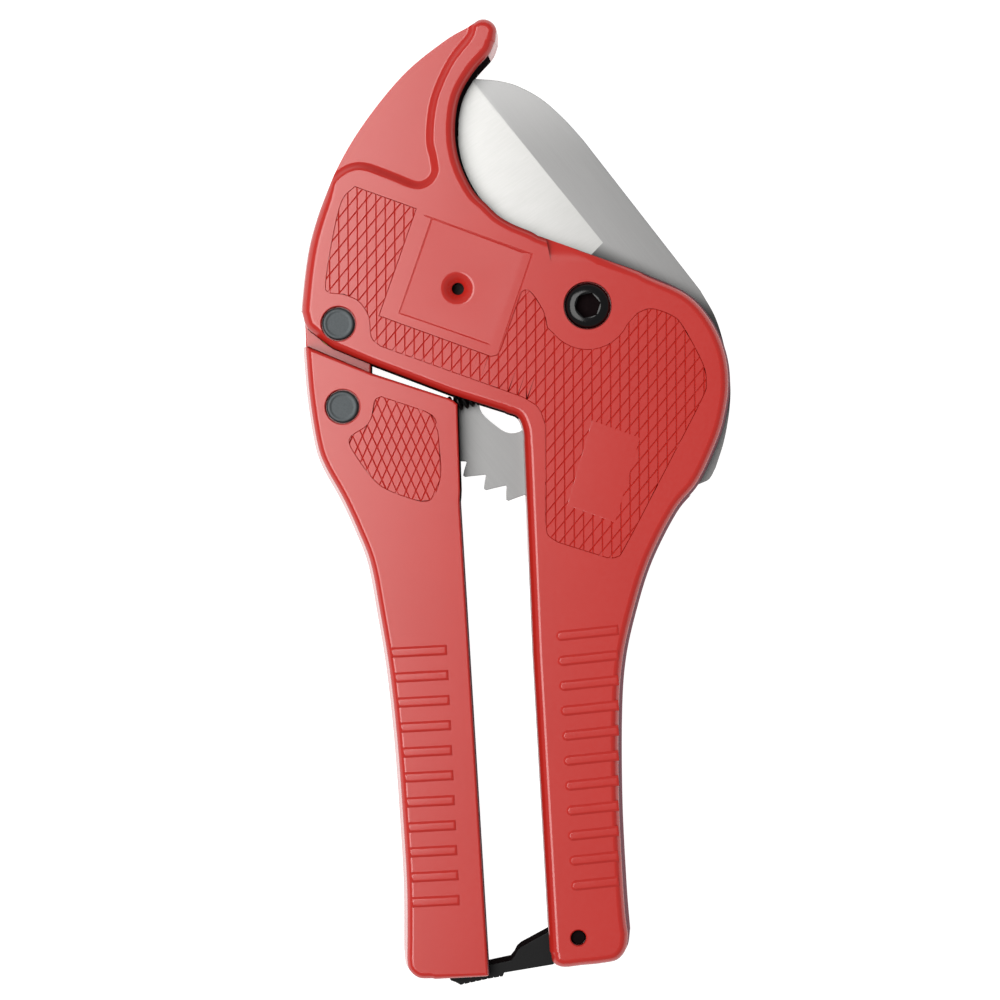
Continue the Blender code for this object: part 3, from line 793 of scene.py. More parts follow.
@dataclass
class BodyCasting:
    """The casting that holds the hook, both cheeks of the head and the fixed handle."""

    layout: Layout
    nose: Point = (-7.25, 103.0)
    nose_radius: float = 3.3
    hook_back: tuple[Point, ...] = ((-10.1, 105.1), (-16.1, 101.6), (-25.4, 93.9), (-34.9, 81.9), (-41.3, 70.2),
                                    (-45.7, 57.4), (-47.55, 43.9), (-47.3, 40.2), (-46.3, 37.7), (-44.1, 35.8))
    lower_edge: tuple[Point, ...] = ((-40.6, 33.2), (-32.3, 29.8), (-14.6, 23.1), (-2.6, 19.4))
    crotch: tuple[Point, ...] = ((-2.6, 19.4), (0.2, 18.4), (1.4, 15.5), (1.6, 12.1))
    inner_edge: tuple[Point, ...] = ((1.6, 12.1), (3.5, -34.3), (7.1, -99.0))
    heel: tuple[Point, ...] = ((7.1, -99.0), (7.8, -101.8), (10.3, -103.0), (14.7, -102.6), (18.7, -102.2),
                               (22.6, -101.3), (24.8, -98.6), (25.4, -94.8))
    outer_edge: tuple[Point, ...] = ((25.4, -94.8), (24.6, -84.7), (23.7, -66.6), (23.6, -47.4), (24.4, -35.2),
                                     (26.7, -24.5), (30.2, -13.4), (35.7, -2.5), (40.5, 3.5), (44.1, 10.8),
                                     (46.5, 17.6), (47.7, 25.7), (46.7, 33.5), (43.2, 40.9), (37.6, 46.6),
                                     (27.4, 51.2))
    jaw_edge: tuple[Point, ...] = ((4.9, 58.9), (-1.5, 61.6), (-5.3, 64.4), (-9.4, 69.8), (-11.9, 75.6),
                                   (-12.7, 81.7), (-11.8, 88.4), (-8.9, 93.8), (-5.2, 98.1), (-4.0, 101.0))
    hook_rim: tuple[Point, ...] = ((-7.6, 110.0), (-8.4, 104.5), (-9.4, 101.4), (-13.5, 96.0), (-16.9, 88.2),
                                   (-17.9, 80.2), (-17.1, 75.6), (-16.8, 72.2), (-18.6, 69.4), (-22.2, 68.4),
                                   (-28.3, 70.7), (-34.4, 72.6), (-38.7, 70.6), (-41.4, 66.0), (-46.0, 58.0))
    hook_sink: float = 1.5
    hook_slope: float = 2.2
    pad: tuple[Point, ...] = ((-18.2, 62.6), (-25.4, 41.6), (-4.9, 33.9), (2.9, 54.9))
    pad_frame: tuple[Point, ...] = ((-20.9, 63.9), (-28.3, 40.6), (-5.2, 32.3), (-3.7, 33.2), (3.6, 54.6))
    pad_lines: tuple[tuple[Point, Point], ...] = (((-20.0, 62.75), (3.5, 54.3)), ((3.5, 54.3), (-3.6, 33.3)),
                                                    ((-25.6, 41.35), (-6.2, 34.65)),
                                                    ((-18.5, 62.0), (-25.6, 41.35)))
    pad_sink: float = 0.16
    pad_lip: float = 0.22
    pad_hole: Point = (-12.8, 46.8)
    pad_cone: float = 3.8
    pad_bore: float = 1.35
    plain_tablet: tuple[Point, ...] = ((16.7, 17.9), (11.2, -0.8), (21.8, -4.7), (27.3, 14.0))
    slot_radius: float = 47.6
    slot_width: float = 3.5
    cheek: float = 3.5
    rib_count: int = 11
    rib_pitch: float = 5.48
    rib_first: float = -29.6
    rib_width: float = 2.3
    rib_rise: float = 0.42
    rib_tilt: float = 6.0

    def runs(self) -> list[Run]:
        """Return the casting's edge, with the radius of each stretch."""
        jaw, back = smooth(self.jaw_edge), smooth(self.hook_back)
        return [Run(arc(self.nose, self.nose_radius, 0, 115, 12), 1.8, 0.3),
                Run(back[:33], 1.0, 0.6), Run(back[33:], 2.1, 0.8), Run(list(self.lower_edge), 1.7, 0.7),
                Run(smooth(self.crotch), 1.9, 0.3), Run(list(self.inner_edge), 2.2, 0.3),
                Run(smooth(self.heel), 1.8, 0.8), Run(smooth(self.outer_edge), 1.7, 1.2),
                Run(jaw[:20], 2.0, 0.2), Run(jaw[20:], 2.0, 0.9)]

    def cavities(self) -> list[bpy.types.Object]:
        """Make the tools for the blade slot, the pockets and the pivot bores."""
        mid = self.layout.middle
        slot = (mid - self.slot_width / 2, mid + self.slot_width / 2)
        inside = (self.layout.rear + self.cheek, self.layout.front - self.cheek)
        blade = self.layout.blade
        head = [(-60, 42.0), (-60, 10), (-1.4, 10), (-1.4, 31.5), (-16, 31.5), (-24, 33), (-31, 42.0)]
        outer = [(x - 3.5, y) for x, y in self.outer_edge[6::-1]]
        grip = [(-5, -110), (19.0, -110), (19.0, -98.5), (21.0, -98.5), *outer[::-1], (-5, -13.3)]
        return [prism("slot_disc", circle(blade, self.slot_radius, 120), *slot),
                prism("slot_tip", [(-17, 92.0), (-16.6, 84.0), (-5, 84.0), (-2, 95.0), (-12.5, 94.6)], *slot),
                prism("head_pocket", head, *inside),
                prism("tongue_pocket", circle(self.layout.handle, 8.1), *inside),
                prism("grip_pocket", grip, *inside),
                prism("washer_pocket", circle(blade, 9.5), mid - 2.75, mid + 2.75),
                prism("bush_bore", circle(blade, 4.5), 3.6, 16.3),
                prism("pad_bore", circle(self.pad_hole, self.pad_bore), 12.0, 16.6)]

    def bores(self) -> list[bpy.types.Object]:
        """Make the tools for the sinks and holes that show on the two faces."""
        blade, handle, latch = self.layout.blade, self.layout.handle, self.layout.latch
        top = self.layout.front
        cone = [(self.pad_bore - 0.02, top - 2.6), (self.pad_bore, top - 2.3), (2.2, top - 1.3), (3.0, top - 0.62),
                (self.pad_cone, top - self.pad_sink), (self.pad_cone, top + 1)]
        sink = [(5.25, 16.6), (5.25, top - 0.1), (5.4, top + 0.1)]
        return [lathe("screw_sink", sink, blade), prism("screw_bore", circle(blade, 3.2), 2.0, 17.0),
                prism("nut_sink", circle(blade, 6.12, 6), -1.0, 3.3),
                lathe("rivet_sink", [(3.8, top - 2.1), (3.8, top - 0.2), (4.1, top + 0.1)], handle),
                lathe("collar_sink", [(4.6, -0.15), (4.25, 0.2), (4.25, 2.1)], handle),
                prism("rivet_bore", circle(handle, 3.2), 1.0, 18.0),
                lathe("latch_bore", [(1.7, -1.0), (1.7, top - 0.25), (2.05, top + 0.1)], latch),
                lathe("pad_cone", cone, self.pad_hole)]

    def hook_recess(self, face: Face) -> bpy.types.Object:
        """Make the tool that sinks the hook's outer web below its rim.

        Args:
            face: the face to sink.

        Returns:
            The tool, with a sloped and rounded wall.
        """
        rim = smooth(self.hook_rim, 6)
        edge = [*rim[::-1], (-9.0, 125.0), (-70.0, 125.0), (-70.0, 50.0)]
        edge = edge if signed_area(edge) > 0 else edge[::-1]
        level = self.layout.front if face is Face.FRONT else self.layout.rear
        rings = []
        for part, drop in ((1.0, 1.0), (0.88, 0.97), (0.7, 0.84), (0.4, 0.38), (0.22, 0.12), (0.1, 0.02), (0.0, 0.0),
                           (-0.25, -0.4)):
            height = level - face.value * self.hook_sink * drop
            rings.append(flat_ring(inset(edge, self.hook_slope * part), height))
        return loft("hook_recess", rings if face is Face.FRONT else rings[::-1])

    def pad_recess(self) -> bpy.types.Object:
        """Make the tool that sinks the square pad, with two wide bevels."""
        top = self.layout.front
        floor = [(-18.25, 61.9), (-25.4, 41.5), (-6.0, 34.8), (1.4, 54.5)]
        rim = [(-18.6, 62.2), (-25.8, 41.2), (-5.4, 34.2), (2.1, 54.6)]
        sinks = (self.pad_sink, self.pad_sink, self.pad_lip, self.pad_lip)
        return loft("pad_recess", [[(x, y, top - sink) for (x, y), sink in zip(floor, sinks)],
                                   flat_ring(rim, top), flat_ring(rim, top + 1)])

    def pad_grooves(self) -> list[bpy.types.Object]:
        """Make the tools for the fine lines scored beside the pad."""
        return [score_line("pad_line", start, end, 0.36, 0.10, self.layout.front) for start, end in self.pad_lines]

    def heel_relief(self) -> bpy.types.Object:
        """Make the tool for the small facet where the blade's heel leaves the casting."""
        top = self.layout.front
        edge = [(6.0, 60.5), (7.7, 52.3), (18.6, 52.0), (22.0, 60.5)]
        drops = (3.9, -0.05, -0.05, 4.1)
        return loft("heel_relief", [[(x, y, top - drop) for (x, y), drop in zip(edge, drops)],
                                    flat_ring(edge, top + 2)])

    def ribs(self) -> bpy.types.Object:
        """Make the raised grip ribs of the fixed handle, with their round inner ends."""
        bars = []
        for i in range(self.rib_count):
            y = self.rib_first - i * self.rib_pitch
            left = 8.8 + 3.2 * i / (self.rib_count - 1)
            right = min(edge_x(self.outer_edge, y) - 2.0, 22.6)
            bars.append(rib_bar("rib", (left, y), right - left, self.rib_width, self.rib_tilt,
                                self.layout.front, self.rib_rise, round_left=True))
        return merged("fixed_ribs", bars)

    def head_knurl(self) -> Knurl:
        """Return the knurled panel of the head."""
        blade = self.layout.blade
        left = smooth(((-35.4, 69.2), (-38.3, 66.0), (-40.4, 57.5), (-41.9, 47.5), (-40.9, 45.7)), 4)
        rivet = smooth(((-37.8, 45.4), (-34.6, 43.9), (-32.4, 40.6), (-31.8, 36.0), (-29.7, 34.0)), 4)
        crotch = smooth(((1.4, 22.9), (4.8, 20.6), (6.4, 16.8)), 4)
        heel = smooth(((6.4, -4.6), (7.0, -7.4), (9.2, -9.0)), 4)
        lobe = smooth(((20.0, -12.4), (22.2, -12.2), (24.2, -9.6), (33.4, 8.0), (40.8, 22.4), (41.8, 26.0),
                       (41.0, 30.4), (36.6, 38.6), (34.0, 41.0), (29.6, 42.4), (26.6, 41.4)), 4)
        boss = arc(blade, 9.6, -25, -142, 12)
        rise = smooth(((7.0, 38.1), (6.3, 41.2), (5.0, 43.7), (3.4, 45.9), (2.2, 46.5), (1.1, 46.0)), 4)
        island = [(-3.4, 33.4), (-4.2, 32.2), (-5.5, 31.9), (-30.0, 40.8), (-21.8, 64.3)]
        outline = chain(left, rivet, crotch, heel, lobe, boss, rise, island)
        return Knurl("head_knurl", outline, ((90.4, 2.05), (50.5, 2.12)))

    def build(self, finishes: Finishes) -> list[bpy.types.Object]:
        """Make the casting and what is worked into its faces.

        Args:
            finishes: the tool's materials.

        Returns:
            The casting, its knurled panel and the plain tablet in it.
        """
        body = cast_block("body_casting", self.runs(), self.layout)
        knurl = self.head_knurl()
        faces = [self.hook_recess(Face.FRONT), self.hook_recess(Face.REAR), self.pad_recess(), self.heel_relief(),
                 *self.pad_grooves(), knurl.pocket(self.layout, Face.FRONT), *self.bores()]
        for tool in faces:
            tool.data.materials.append(finishes.enamel)
        hollows = self.cavities()
        # Painted shade: the slot, pockets and bores take the almost black shade finish
        for tool in hollows:
            tool.data.materials.append(finishes.hollow_shade)
        finishes.dress(body, finishes.enamel)
        carve(body, faces)
        carve(body, [self.ribs()], join=True)
        carve(body, hollows)
        # Painted shade: inside the jaw the walls facing right or down get the black shade, and on the fixed handle the
        # walls facing right get the violet grey shade
        coat_walls(body, finishes.black_shade_paint, lambda way, at: (way.x > 0.25 or way.y < -0.6) and at.x < 5 and at.y < 98)
        coat_walls(body, finishes.violet_wall_shade, lambda way, at: way.x > 0.25 and at.x > 5)
        panel = knurl.build(self.layout, Face.FRONT)
        tablet = soft_plate("head_tablet", list(self.plain_tablet), self.layout.front - 0.8,
                            self.layout.front - 0.005, 0.12)
        for piece in (panel, tablet):
            finishes.dress(piece, finishes.enamel)
        return [body, panel, tablet]


def signed_area(outline: Outline) -> float:
    """Return an outline's area, which is positive where it runs counter-clockwise."""
    pairs = zip(outline, outline[1:] + outline[:1])
    return sum(a[0] * b[1] - b[0] * a[1] for a, b in pairs) / 2


def score_line(name: str, start: Point, end: Point, width: float, depth: float, level: float) -> bpy.types.Object:
    """Make the tool for a fine straight groove.

    Args:
        name: the object's name.
        start: one end.
        end: the other end.
        width: its width at the face.
        depth: its depth.
        level: the face's height.

    Returns:
        The tool, which narrows downwards.
    """
    length = math.dist(start, end)
    tilt = math.degrees(math.atan2(end[1] - start[1], end[0] - start[0]))
    rings = []
    for half, height in ((width / 12, level - depth), (width / 2, level), (width / 2, level + 0.5)):
        bar = [(-half, -half), (length + half, -half), (length + half, half), (-half, half)]
        rings.append(flat_ring(turned(bar, start, tilt), height))
    return loft(name, rings)


def soft_plate(name: str, outline: Outline, low: float, high: float, edge: float) -> bpy.types.Object:
    """Make a plate with a small rounded edge at its top and bottom.

    Args:
        name: the object's name.
        outline: its outline, counter-clockwise.
        low: its lower face.
        high: its upper face.
        edge: the edge's radius.

    Returns:
        The closed plate.
    """
    shrink = [(edge, 0.0), (edge * 0.3, edge * 0.3), (0.0, edge)]
    rings = [flat_ring(inset(outline, part), low + rise) for part, rise in shrink]
    rings += [flat_ring(inset(outline, part), high - rise) for part, rise in reversed(shrink)]
    return loft(name, rings)


def rib_bar(name: str, start: Point, length: float, width: float, tilt: float, level: float, rise: float,
            round_left: bool) -> bpy.types.Object:
    """Make one raised grip rib.

    Args:
        name: the object's name.
        start: the middle of its left end.
        length: its length.
        width: its width at the foot.
        tilt: how far it climbs to the right, in degrees.
        level: the face's height.
        rise: how far it stands up from the face.
        round_left: True where its left end is round.

    Returns:
        The closed bar, which reaches a little below the face.
    """
    half = width / 2
    left = arc((half, 0), half, 90, 270, 8) if round_left else [(0, half), (0, -half)]
    foot = [*left, (length, -half), (length, half)]
    rings = []
    for part, height in ((0.0, level - 1.2), (0.0, level + 0.05 * rise), (0.42, level + 0.85 * rise),
                         (0.58, level + rise)):
        rings.append(flat_ring(turned(inset(foot, part), start, tilt), height))
    return loft(name, rings)


@dataclass
class MovingHandle:
    """The handle casting that swings, a channel that opens towards the fixed handle."""

    layout: Layout
    outer_edge: tuple[Point, ...] = ((-47.2, 34.2), (-47.0, 31.4), (-46.2, 22.5), (-44.6, 12.7), (-42.8, 7.5),
                                     (-38.8, 0.3), (-35.5, -6.8), (-32.8, -13.9), (-30.8, -24.5),
                                     (-28.7, -37.3), (-27.0, -52.9), (-25.7, -70.7), (-24.9, -84.9),
                                     (-24.8, -99.3))
    toe: tuple[Point, ...] = ((-24.8, -99.3), (-24.2, -103.1), (-21.6, -105.4), (-17.7, -105.6))
    foot: tuple[Point, ...] = ((-17.7, -105.6), (-6.4, -104.8))
    inner_edge: tuple[Point, ...] = ((-5.6, -104.3), (-11.9, 0.0), (-11.6, 2.5), (-12.2, 21.1))
    top_edge: tuple[Point, ...] = ((-12.5, 21.7), (-13.7, 22.4), (-14.9, 22.9), (-31.7, 28.4), (-45.9, 34.5))
    web: float = 2.8
    cheek: float = 3.5
    tongue_radius: float = 7.6
    rib_count: int = 11
    rib_pitch: float = 5.48
    rib_first: float = -33.2
    rib_width: float = 2.3
    rib_rise: float = 0.42

    def runs(self) -> list[Run]:
        """Return the casting's edge, with the radius of each stretch."""
        return [Run(smooth(self.outer_edge), 1.4, 1.1), Run(smooth(self.toe), 1.4, 0.9),
                Run(list(self.foot), 0.9, 0.6), Run(list(self.inner_edge[:2]), 0.35, 0.1),
                Run(list(self.inner_edge[2:]), 0.35, 1.2),
                Run(list(self.top_edge), 0.5, 0.15)]

    def channel(self) -> bpy.types.Object:
        """Make the tool for the channel between the cheeks."""
        inner = [(x + self.web, y) for x, y in self.outer_edge[2:]]
        edge = [(-43.0, 26.3), *inner, (-21.8, -101.5), (-16.2, -101.5), (-16.2, -115), (0, -115), (0, 40),
                (-31.6, 40), (-31.6, 26.3)]
        return prism("handle_channel", edge, self.layout.rear + self.cheek, self.layout.front - self.cheek)

    def tongue(self) -> bpy.types.Object:
        """Make the tongue that turns between the body's cheeks."""
        root = [(-46.5, 38.0), (-46.3, 31.1), (-45.5, 27.2), (-32.0, 27.2), (-32.0, 36.2)]
        edge = chain(root, arc(self.layout.handle, self.tongue_radius, 0, 180, 32))
        return soft_plate("tongue", edge, self.layout.middle - 4.7, self.layout.middle + 4.7, 0.4)

    def ribs(self) -> bpy.types.Object:
        """Make the raised grip ribs, which run out over the outer side."""
        bars = []
        for i in range(self.rib_count):
            y = self.rib_first - i * self.rib_pitch
            left = edge_x(self.outer_edge, y) + 1.9
            right = -15.1 + 2.75 * i / (self.rib_count - 1)
            bars.append(rib_bar("rib", (left, y), right - left, self.rib_width, 3.0, self.layout.front,
                                self.rib_rise, round_left=False))
        return merged("handle_ribs", bars)

    def knurl(self) -> Knurl:
        """Return the knurled patch beside the pawl's rivet."""
        edge = smooth(((-29.6, 23.1), (-31.0, 22.3), (-31.5, 20.0), (-31.9, 18.2), (-33.2, 16.4),
                       (-36.0, 14.6), (-36.7, 12.9), (-35.2, 10.0), (-31.4, 4.9), (-28.0, 2.4), (-21.0, 0.0),
                       (-18.2, 0.9), (-16.5, 5.6), (-16.8, 12.0), (-17.6, 18.0), (-20.0, 19.9)), 3)
        return Knurl("handle_knurl", chain(edge), ((66.0, 1.95), (114.0, 1.95)))

    def build(self, finishes: Finishes) -> list[bpy.types.Object]:
        """Make the casting and its knurled patch.

        Args:
            finishes: the tool's materials.

        Returns:
            The two pieces.
        """
        handle = cast_block("handle_casting", self.runs(), self.layout)
        finishes.dress(handle, finishes.enamel)
        knurl = self.knurl()
        top = self.layout.front
        pawl = self.layout.pawl
        faces = [knurl.pocket(self.layout, Face.FRONT),
                 lathe("rivet_sink", [(3.8, top - 2.1), (3.8, top - 0.2), (4.1, top + 0.1)], pawl),
                 lathe("collar_sink", [(4.45, -0.1), (4.2, 0.15), (4.2, 2.1)], pawl),
                 prism("rivet_bore", circle(pawl, 2.1), 1.0, 18.0)]
        for tool in faces:
            tool.data.materials.append(finishes.enamel)
        hollow = self.channel()
        # Painted shade: the channel's faces take the almost black shade finish
        hollow.data.materials.append(finishes.hollow_shade)
        carve(handle, faces)
        tongue = self.tongue()
        tongue.data.materials.append(finishes.enamel)
        carve(handle, [self.ribs(), tongue], join=True)
        carve(handle, [hollow])
        seat = prism("seat", turned([(-1.6, -2), (-0.3, -2), (-0.3, 2), (-1.6, 2)], (-16.0, 21.0), 15.0),
                     11.4, top - self.cheek + 0.5)
        seat.data.materials.append(finishes.enamel)
        carve(handle, [seat], join=True)
        carve(handle, [prism("tongue_bore", circle(self.layout.handle, 3.2), 3.0, 16.0)])
        # Painted shade: the handle's walls facing right get the black shade near the head and the violet grey shade
        # lower down
        coat_walls(handle, finishes.black_shade_paint, lambda way, at: way.x > 0.25 and at.y > -8)
        coat_walls(handle, finishes.violet_wall_shade, lambda way, at: way.x > 0.25 and at.y <= -8)
        patch = knurl.build(self.layout, Face.FRONT)
        finishes.dress(patch, finishes.enamel)
        return [handle, patch]


def edge_x(edge: tuple[Point, ...], y: float) -> float:
    """Find where a falling edge crosses a height, between its points."""
    for (x0, y0), (x1, y1) in zip(edge, edge[1:]):
        if y1 <= y <= y0:
            return x0 + (x1 - x0) * (y0 - y) / (y0 - y1)
    return edge[-1][0]


@dataclass
class Blade:
    """The ratchet blade, with its ground bevel, window and teeth."""

    layout: Layout
    thickness: float = 2.5
    tooth_radius: float = 46.25
    tooth_depth: float = 2.9
    tooth_pitch: float = 6.83
    first_tooth: float = 219.95
    tooth_count: int = 12
    cutting_edge: tuple[Point, ...] = ((-11.4, 92.9), (-16.0, 88.4), (-19.7, 80.2), (-19.5, 71.1), (-15.6, 62.5),
                                       (-8.5, 54.5), (0.0, 48.9))
    throat: tuple[Point, ...] = ((1.5, 41.3), (-1.0, 34.5), (-12.0, 24.9), (-15.5, 20.6), (-19.9, 18.8))
    tail: tuple[Point, ...] = ((41.0, 4.0), (42.9, 5.0))
    spine: tuple[Point, ...] = ((44.3, 7.5), (46.2, 13.6), (47.4, 20.7), (47.5, 26.9), (46.4, 33.7),
                                (44.3, 40.7), (40.9, 46.8))
    shoulder: tuple[Point, ...] = ((14.9, 80.2), (10.9, 84.6), (6.0, 89.0), (0.9, 91.9), (-3.5, 93.2),
                                   (-9.0, 93.7))
    bevel_line: tuple[Point, Point] = ((-7.75, 90.95), (19.3, 57.4))
    bevel_end: Point = (16.7, 54.7)
    bevel_slope: float = 0.052
    window: tuple[float, float, float, float] = (25.0, 33.05, 219.0, 243.2)
    edge: float = 0.12

    def teeth(self) -> Outline:
        """Return the ratchet teeth, with steep faces towards the moving handle and hollow backs."""
        points = []
        centre, crest = self.layout.blade, self.tooth_radius
        for i in range(self.tooth_count):
            angle = self.first_tooth + i * self.tooth_pitch
            for drop, turn in ((0.95, -1.36), (0.43, -0.65), (0.10, -0.12), (0.0, 0.1), (0.01, 0.75),
                               (0.10, 1.1), (0.42, 2.4), (0.77, 4.0), (0.96, 4.9), (1.0, 5.2)):
                points.append(polar(centre, crest - drop * self.tooth_depth, angle + turn))
        return points[:-3]

    def outline(self) -> Outline:
        """Return the blade's edge, counter-clockwise from its point."""
        end = self.first_tooth + (self.tooth_count - 1) * self.tooth_pitch
        last = polar(self.layout.blade, self.tooth_radius - 0.2, end + 4.5)
        return chain(smooth(self.cutting_edge), smooth(self.throat, 4), self.teeth(), [last],
                     smooth((*self.tail, self.spine[0]), 5), smooth(self.spine), smooth(self.shoulder))

    def window_outline(self) -> Outline:
        """Return the curved window's edge, with rounded ends."""
        inner, outer, start, end = self.window
        radius = (outer - inner) / 2
        mid = inner + radius
        swing = math.degrees(radius / mid)
        centre = self.layout.blade
        first = polar(centre, mid, start + swing)
        last = polar(centre, mid, end - swing)
        return chain(arc(centre, outer, start + swing, end - swing, 12), arc(last, radius, end - swing, end - swing + 180, 12),
                     arc(centre, inner, end - swing, start + swing, 12),
                     arc(first, radius, start + swing + 180, start + swing + 360, 12))

    def bevel_tool(self, face: Face) -> bpy.types.Object:
        """Make the wedge that grinds the bevel on one face.

        Args:
            face: the face to grind.

        Returns:
            The wedge, whose sloped face meets the plate at the bevel line.
        """
        start, stop = (Vector(p) for p in self.bevel_line)
        along = (stop - start).normalized()
        away = Vector((along.y, -along.x)) * -1
        if away.x > 0:
            away = -away
        reach = 60.0
        corners = [start - along * 8, stop, Vector(self.bevel_end),
                   Vector(self.bevel_end) + away * reach, start - along * 8 + away * reach]
        if signed_area([tuple(c) for c in corners]) < 0:
            corners.reverse()
        level = self.layout.middle + face.value * self.thickness / 2
        low = [(c.x, c.y, level - face.value * self.bevel_slope * (c - start).dot(away)) for c in corners]
        high = [(c.x, c.y, level + face.value * 4) for c in corners]
        return loft("bevel_tool", [low, high] if face is Face.FRONT else [high, low])

    def build(self, finishes: Finishes) -> list[bpy.types.Object]:
        """Make the blade.

        Args:
            finishes: the tool's materials.

        Returns:
            The blade.
        """
        mid = self.layout.middle
        low, high = mid - self.thickness / 2, mid + self.thickness / 2
        blade = soft_plate("ratchet_blade", self.outline(), low, high, self.edge)
        finishes.dress(blade, finishes.plate)
        holes = [prism("window", self.window_outline(), low - 1, high + 1),
                 prism("pivot", circle(self.layout.blade, 4.5), low - 1, high + 1)]
        for tool in holes:
            tool.data.materials.append(finishes.plate)
        bevels = [self.bevel_tool(Face.FRONT), self.bevel_tool(Face.REAR)]
        for tool in bevels:
            tool.data.materials.append(finishes.bevel)
        carve(blade, holes + bevels)
        return [blade]


@dataclass
class Fasteners:
    """The pivot screw and the two flush rivets."""

    layout: Layout
    head: float = 5.0
    proud: float = 1.05
    socket: float = 2.5
    rivet: float = 3.5
    shim: float = 5.3

    def screw(self, finishes: Finishes) -> bpy.types.Object:
        """Make the button head screw with its hexagon socket, whose inside carries the painted black shade."""
        top = self.layout.front + self.proud
        seat = 16.9
        profile = [(2.3, 0.45), (2.9, 1.0), (2.9, seat), (4.85, seat), (self.head, seat + 0.15),
                   (self.head, top - 2.0), (4.9, top - 1.3), (4.72, top - 0.85), (4.45, top - 0.52),
                   (4.15, top - 0.31), (3.8, top - 0.17), (3.4, top - 0.08), (3.0, top - 0.02), (2.75, top)]
        screw = lathe("pivot_screw", profile, self.layout.blade)
        hexagon = arc(self.layout.blade, self.socket / math.cos(math.radians(30)), 12, 312, 5)
        finishes.dress(screw, finishes.oxide)
        # Painted shade: the socket's cut faces take the nearly black shade finish
        socket = prism("socket", hexagon, top - 2.6, top + 1)
        socket.data.materials.append(finishes.black_shade_paint)
        lead_in = lathe("lead_in", [(2.2, top - 0.16), (2.85, top), (2.9, top + 1)], self.layout.blade)
        lead_in.data.materials.append(finishes.oxide)
        carve(screw, [socket, lead_in])
        return screw

    def flush_rivet(self, name: str, centre: Point, shank: float) -> bpy.types.Object:
        """Make a rivet with a flat head and a shallow set mark.

        Args:
            name: the piece's name.
            centre: its axis.
            shank: its shank's radius.

        Returns:
            The rivet.
        """
        top = self.layout.front - 0.12
        profile = [(shank, 0.6), (shank, top - 1.7), (self.rivet - 0.1, top - 1.7), (self.rivet, top - 1.6),
                   (self.rivet, top - 0.28), (self.rivet - 0.12, top - 0.1), (self.rivet - 0.35, top),
                   (self.rivet - 0.75, top), (self.rivet - 0.95, top - 0.06), (self.rivet - 1.2, top - 0.06)]
        return lathe(name, profile, centre, 72)

    def washer(self, node: str) -> bpy.types.Object:
        """Make a shim with a broken edge, between the layers of its CAD node."""
        low, high = (corner.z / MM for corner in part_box(node))
        shim = lathe(node.replace("washer", "shim"), [(self.shim - 0.1, low), (self.shim, low + 0.1),
                                                      (self.shim, high - 0.1), (self.shim - 0.1, high)],
                     self.layout.handle)
        carve(shim, [prism("bore", circle(self.layout.handle, 3.2), low - 1, high + 1)])
        return shim

    def build(self, finishes: Finishes) -> list[bpy.types.Object]:
        """Make the screw, both rivets and both shims, in that order."""
        screw = self.screw(finishes)
        rivets = [self.flush_rivet("handle_rivet", self.layout.handle, 2.9),
                  self.flush_rivet("pawl_rivet", self.layout.pawl, 1.8)]
        for rivet in rivets:
            finishes.dress(rivet, finishes.rivet)
        shims = [self.washer("handle_washer_front"), self.washer("handle_washer_rear")]
        for shim in shims:
            finishes.dress(shim, finishes.bronze)
        return [screw, *rivets, *shims]


@dataclass
class Springs:
    """The coil that pushes the handles apart and the torsion spring on the pawl."""

    layout: Layout
    start: tuple[float, float, float] = (-16.0, 21.0, 13.4)
    angle: float = 15.0
    length: float = 14.0
    radius: float = 1.45
    turns: float = 10.0
    wire: float = 0.4
    pawl_radius: float = 3.7
    pawl_turns: float = 3.5
    pawl_wire: float = 0.35
    sides: int = 24

    def return_coil(self) -> bpy.types.Object:
        """Make the coil between the moving handle and the body, with its closed end turns."""
        turn = math.radians(self.angle)
        along = Vector((math.cos(turn), math.sin(turn), 0))
        across = Vector((-math.sin(turn), math.cos(turn), 0))
        up = Vector((0, 0, 1))
        path = []
        count = int(self.turns * self.sides)
        for i in range(count + 1):
            swing = 2 * math.pi * i / self.sides
            reach = self.wire + (self.length - 2 * self.wire) * i / count
            path.append(Vector(self.start) + across * self.radius * math.cos(swing)
                        + up * self.radius * math.sin(swing) + along * reach)
        return tube("return_coil", path, self.wire)

    def pawl_coil(self) -> bpy.types.Object:
        """Make the torsion spring, with one leg on the handle's web and one under the pawl."""
        low, height = 4.2, 3.1
        centre = Vector((*self.layout.pawl, 0))
        count = int(self.pawl_turns * self.sides)
        path = [centre + Vector((-3.0, -6.0, low)), centre + Vector((-1.0, -11.0, low))][::-1]
        for i in range(count + 1):
            swing = math.radians(200) + 2 * math.pi * i / self.sides
            path.append(centre + Vector((self.pawl_radius * math.cos(swing), self.pawl_radius * math.sin(swing),
                                         low + height * i / count)))
        heading = Vector((math.cos(math.radians(-28.1)), math.sin(math.radians(-28.1)), 0))
        below = Vector((heading.y, -heading.x, 0))
        end = centre + Vector((0, 0, low + height))
        path += [end + below * 5.2 + heading * 8, end + below * 5.2 + heading * 13,
                 end + below * 5.2 + heading * 13 + Vector((0, 0, 3))]
        return tube("pawl_coil", path, self.pawl_wire)

    def build(self, finishes: Finishes) -> list[bpy.types.Object]:
        """Make both springs, the return coil first."""
        coils = [self.return_coil(), self.pawl_coil()]
        for coil in coils:
            finishes.dress(coil, finishes.wire)
        return coils


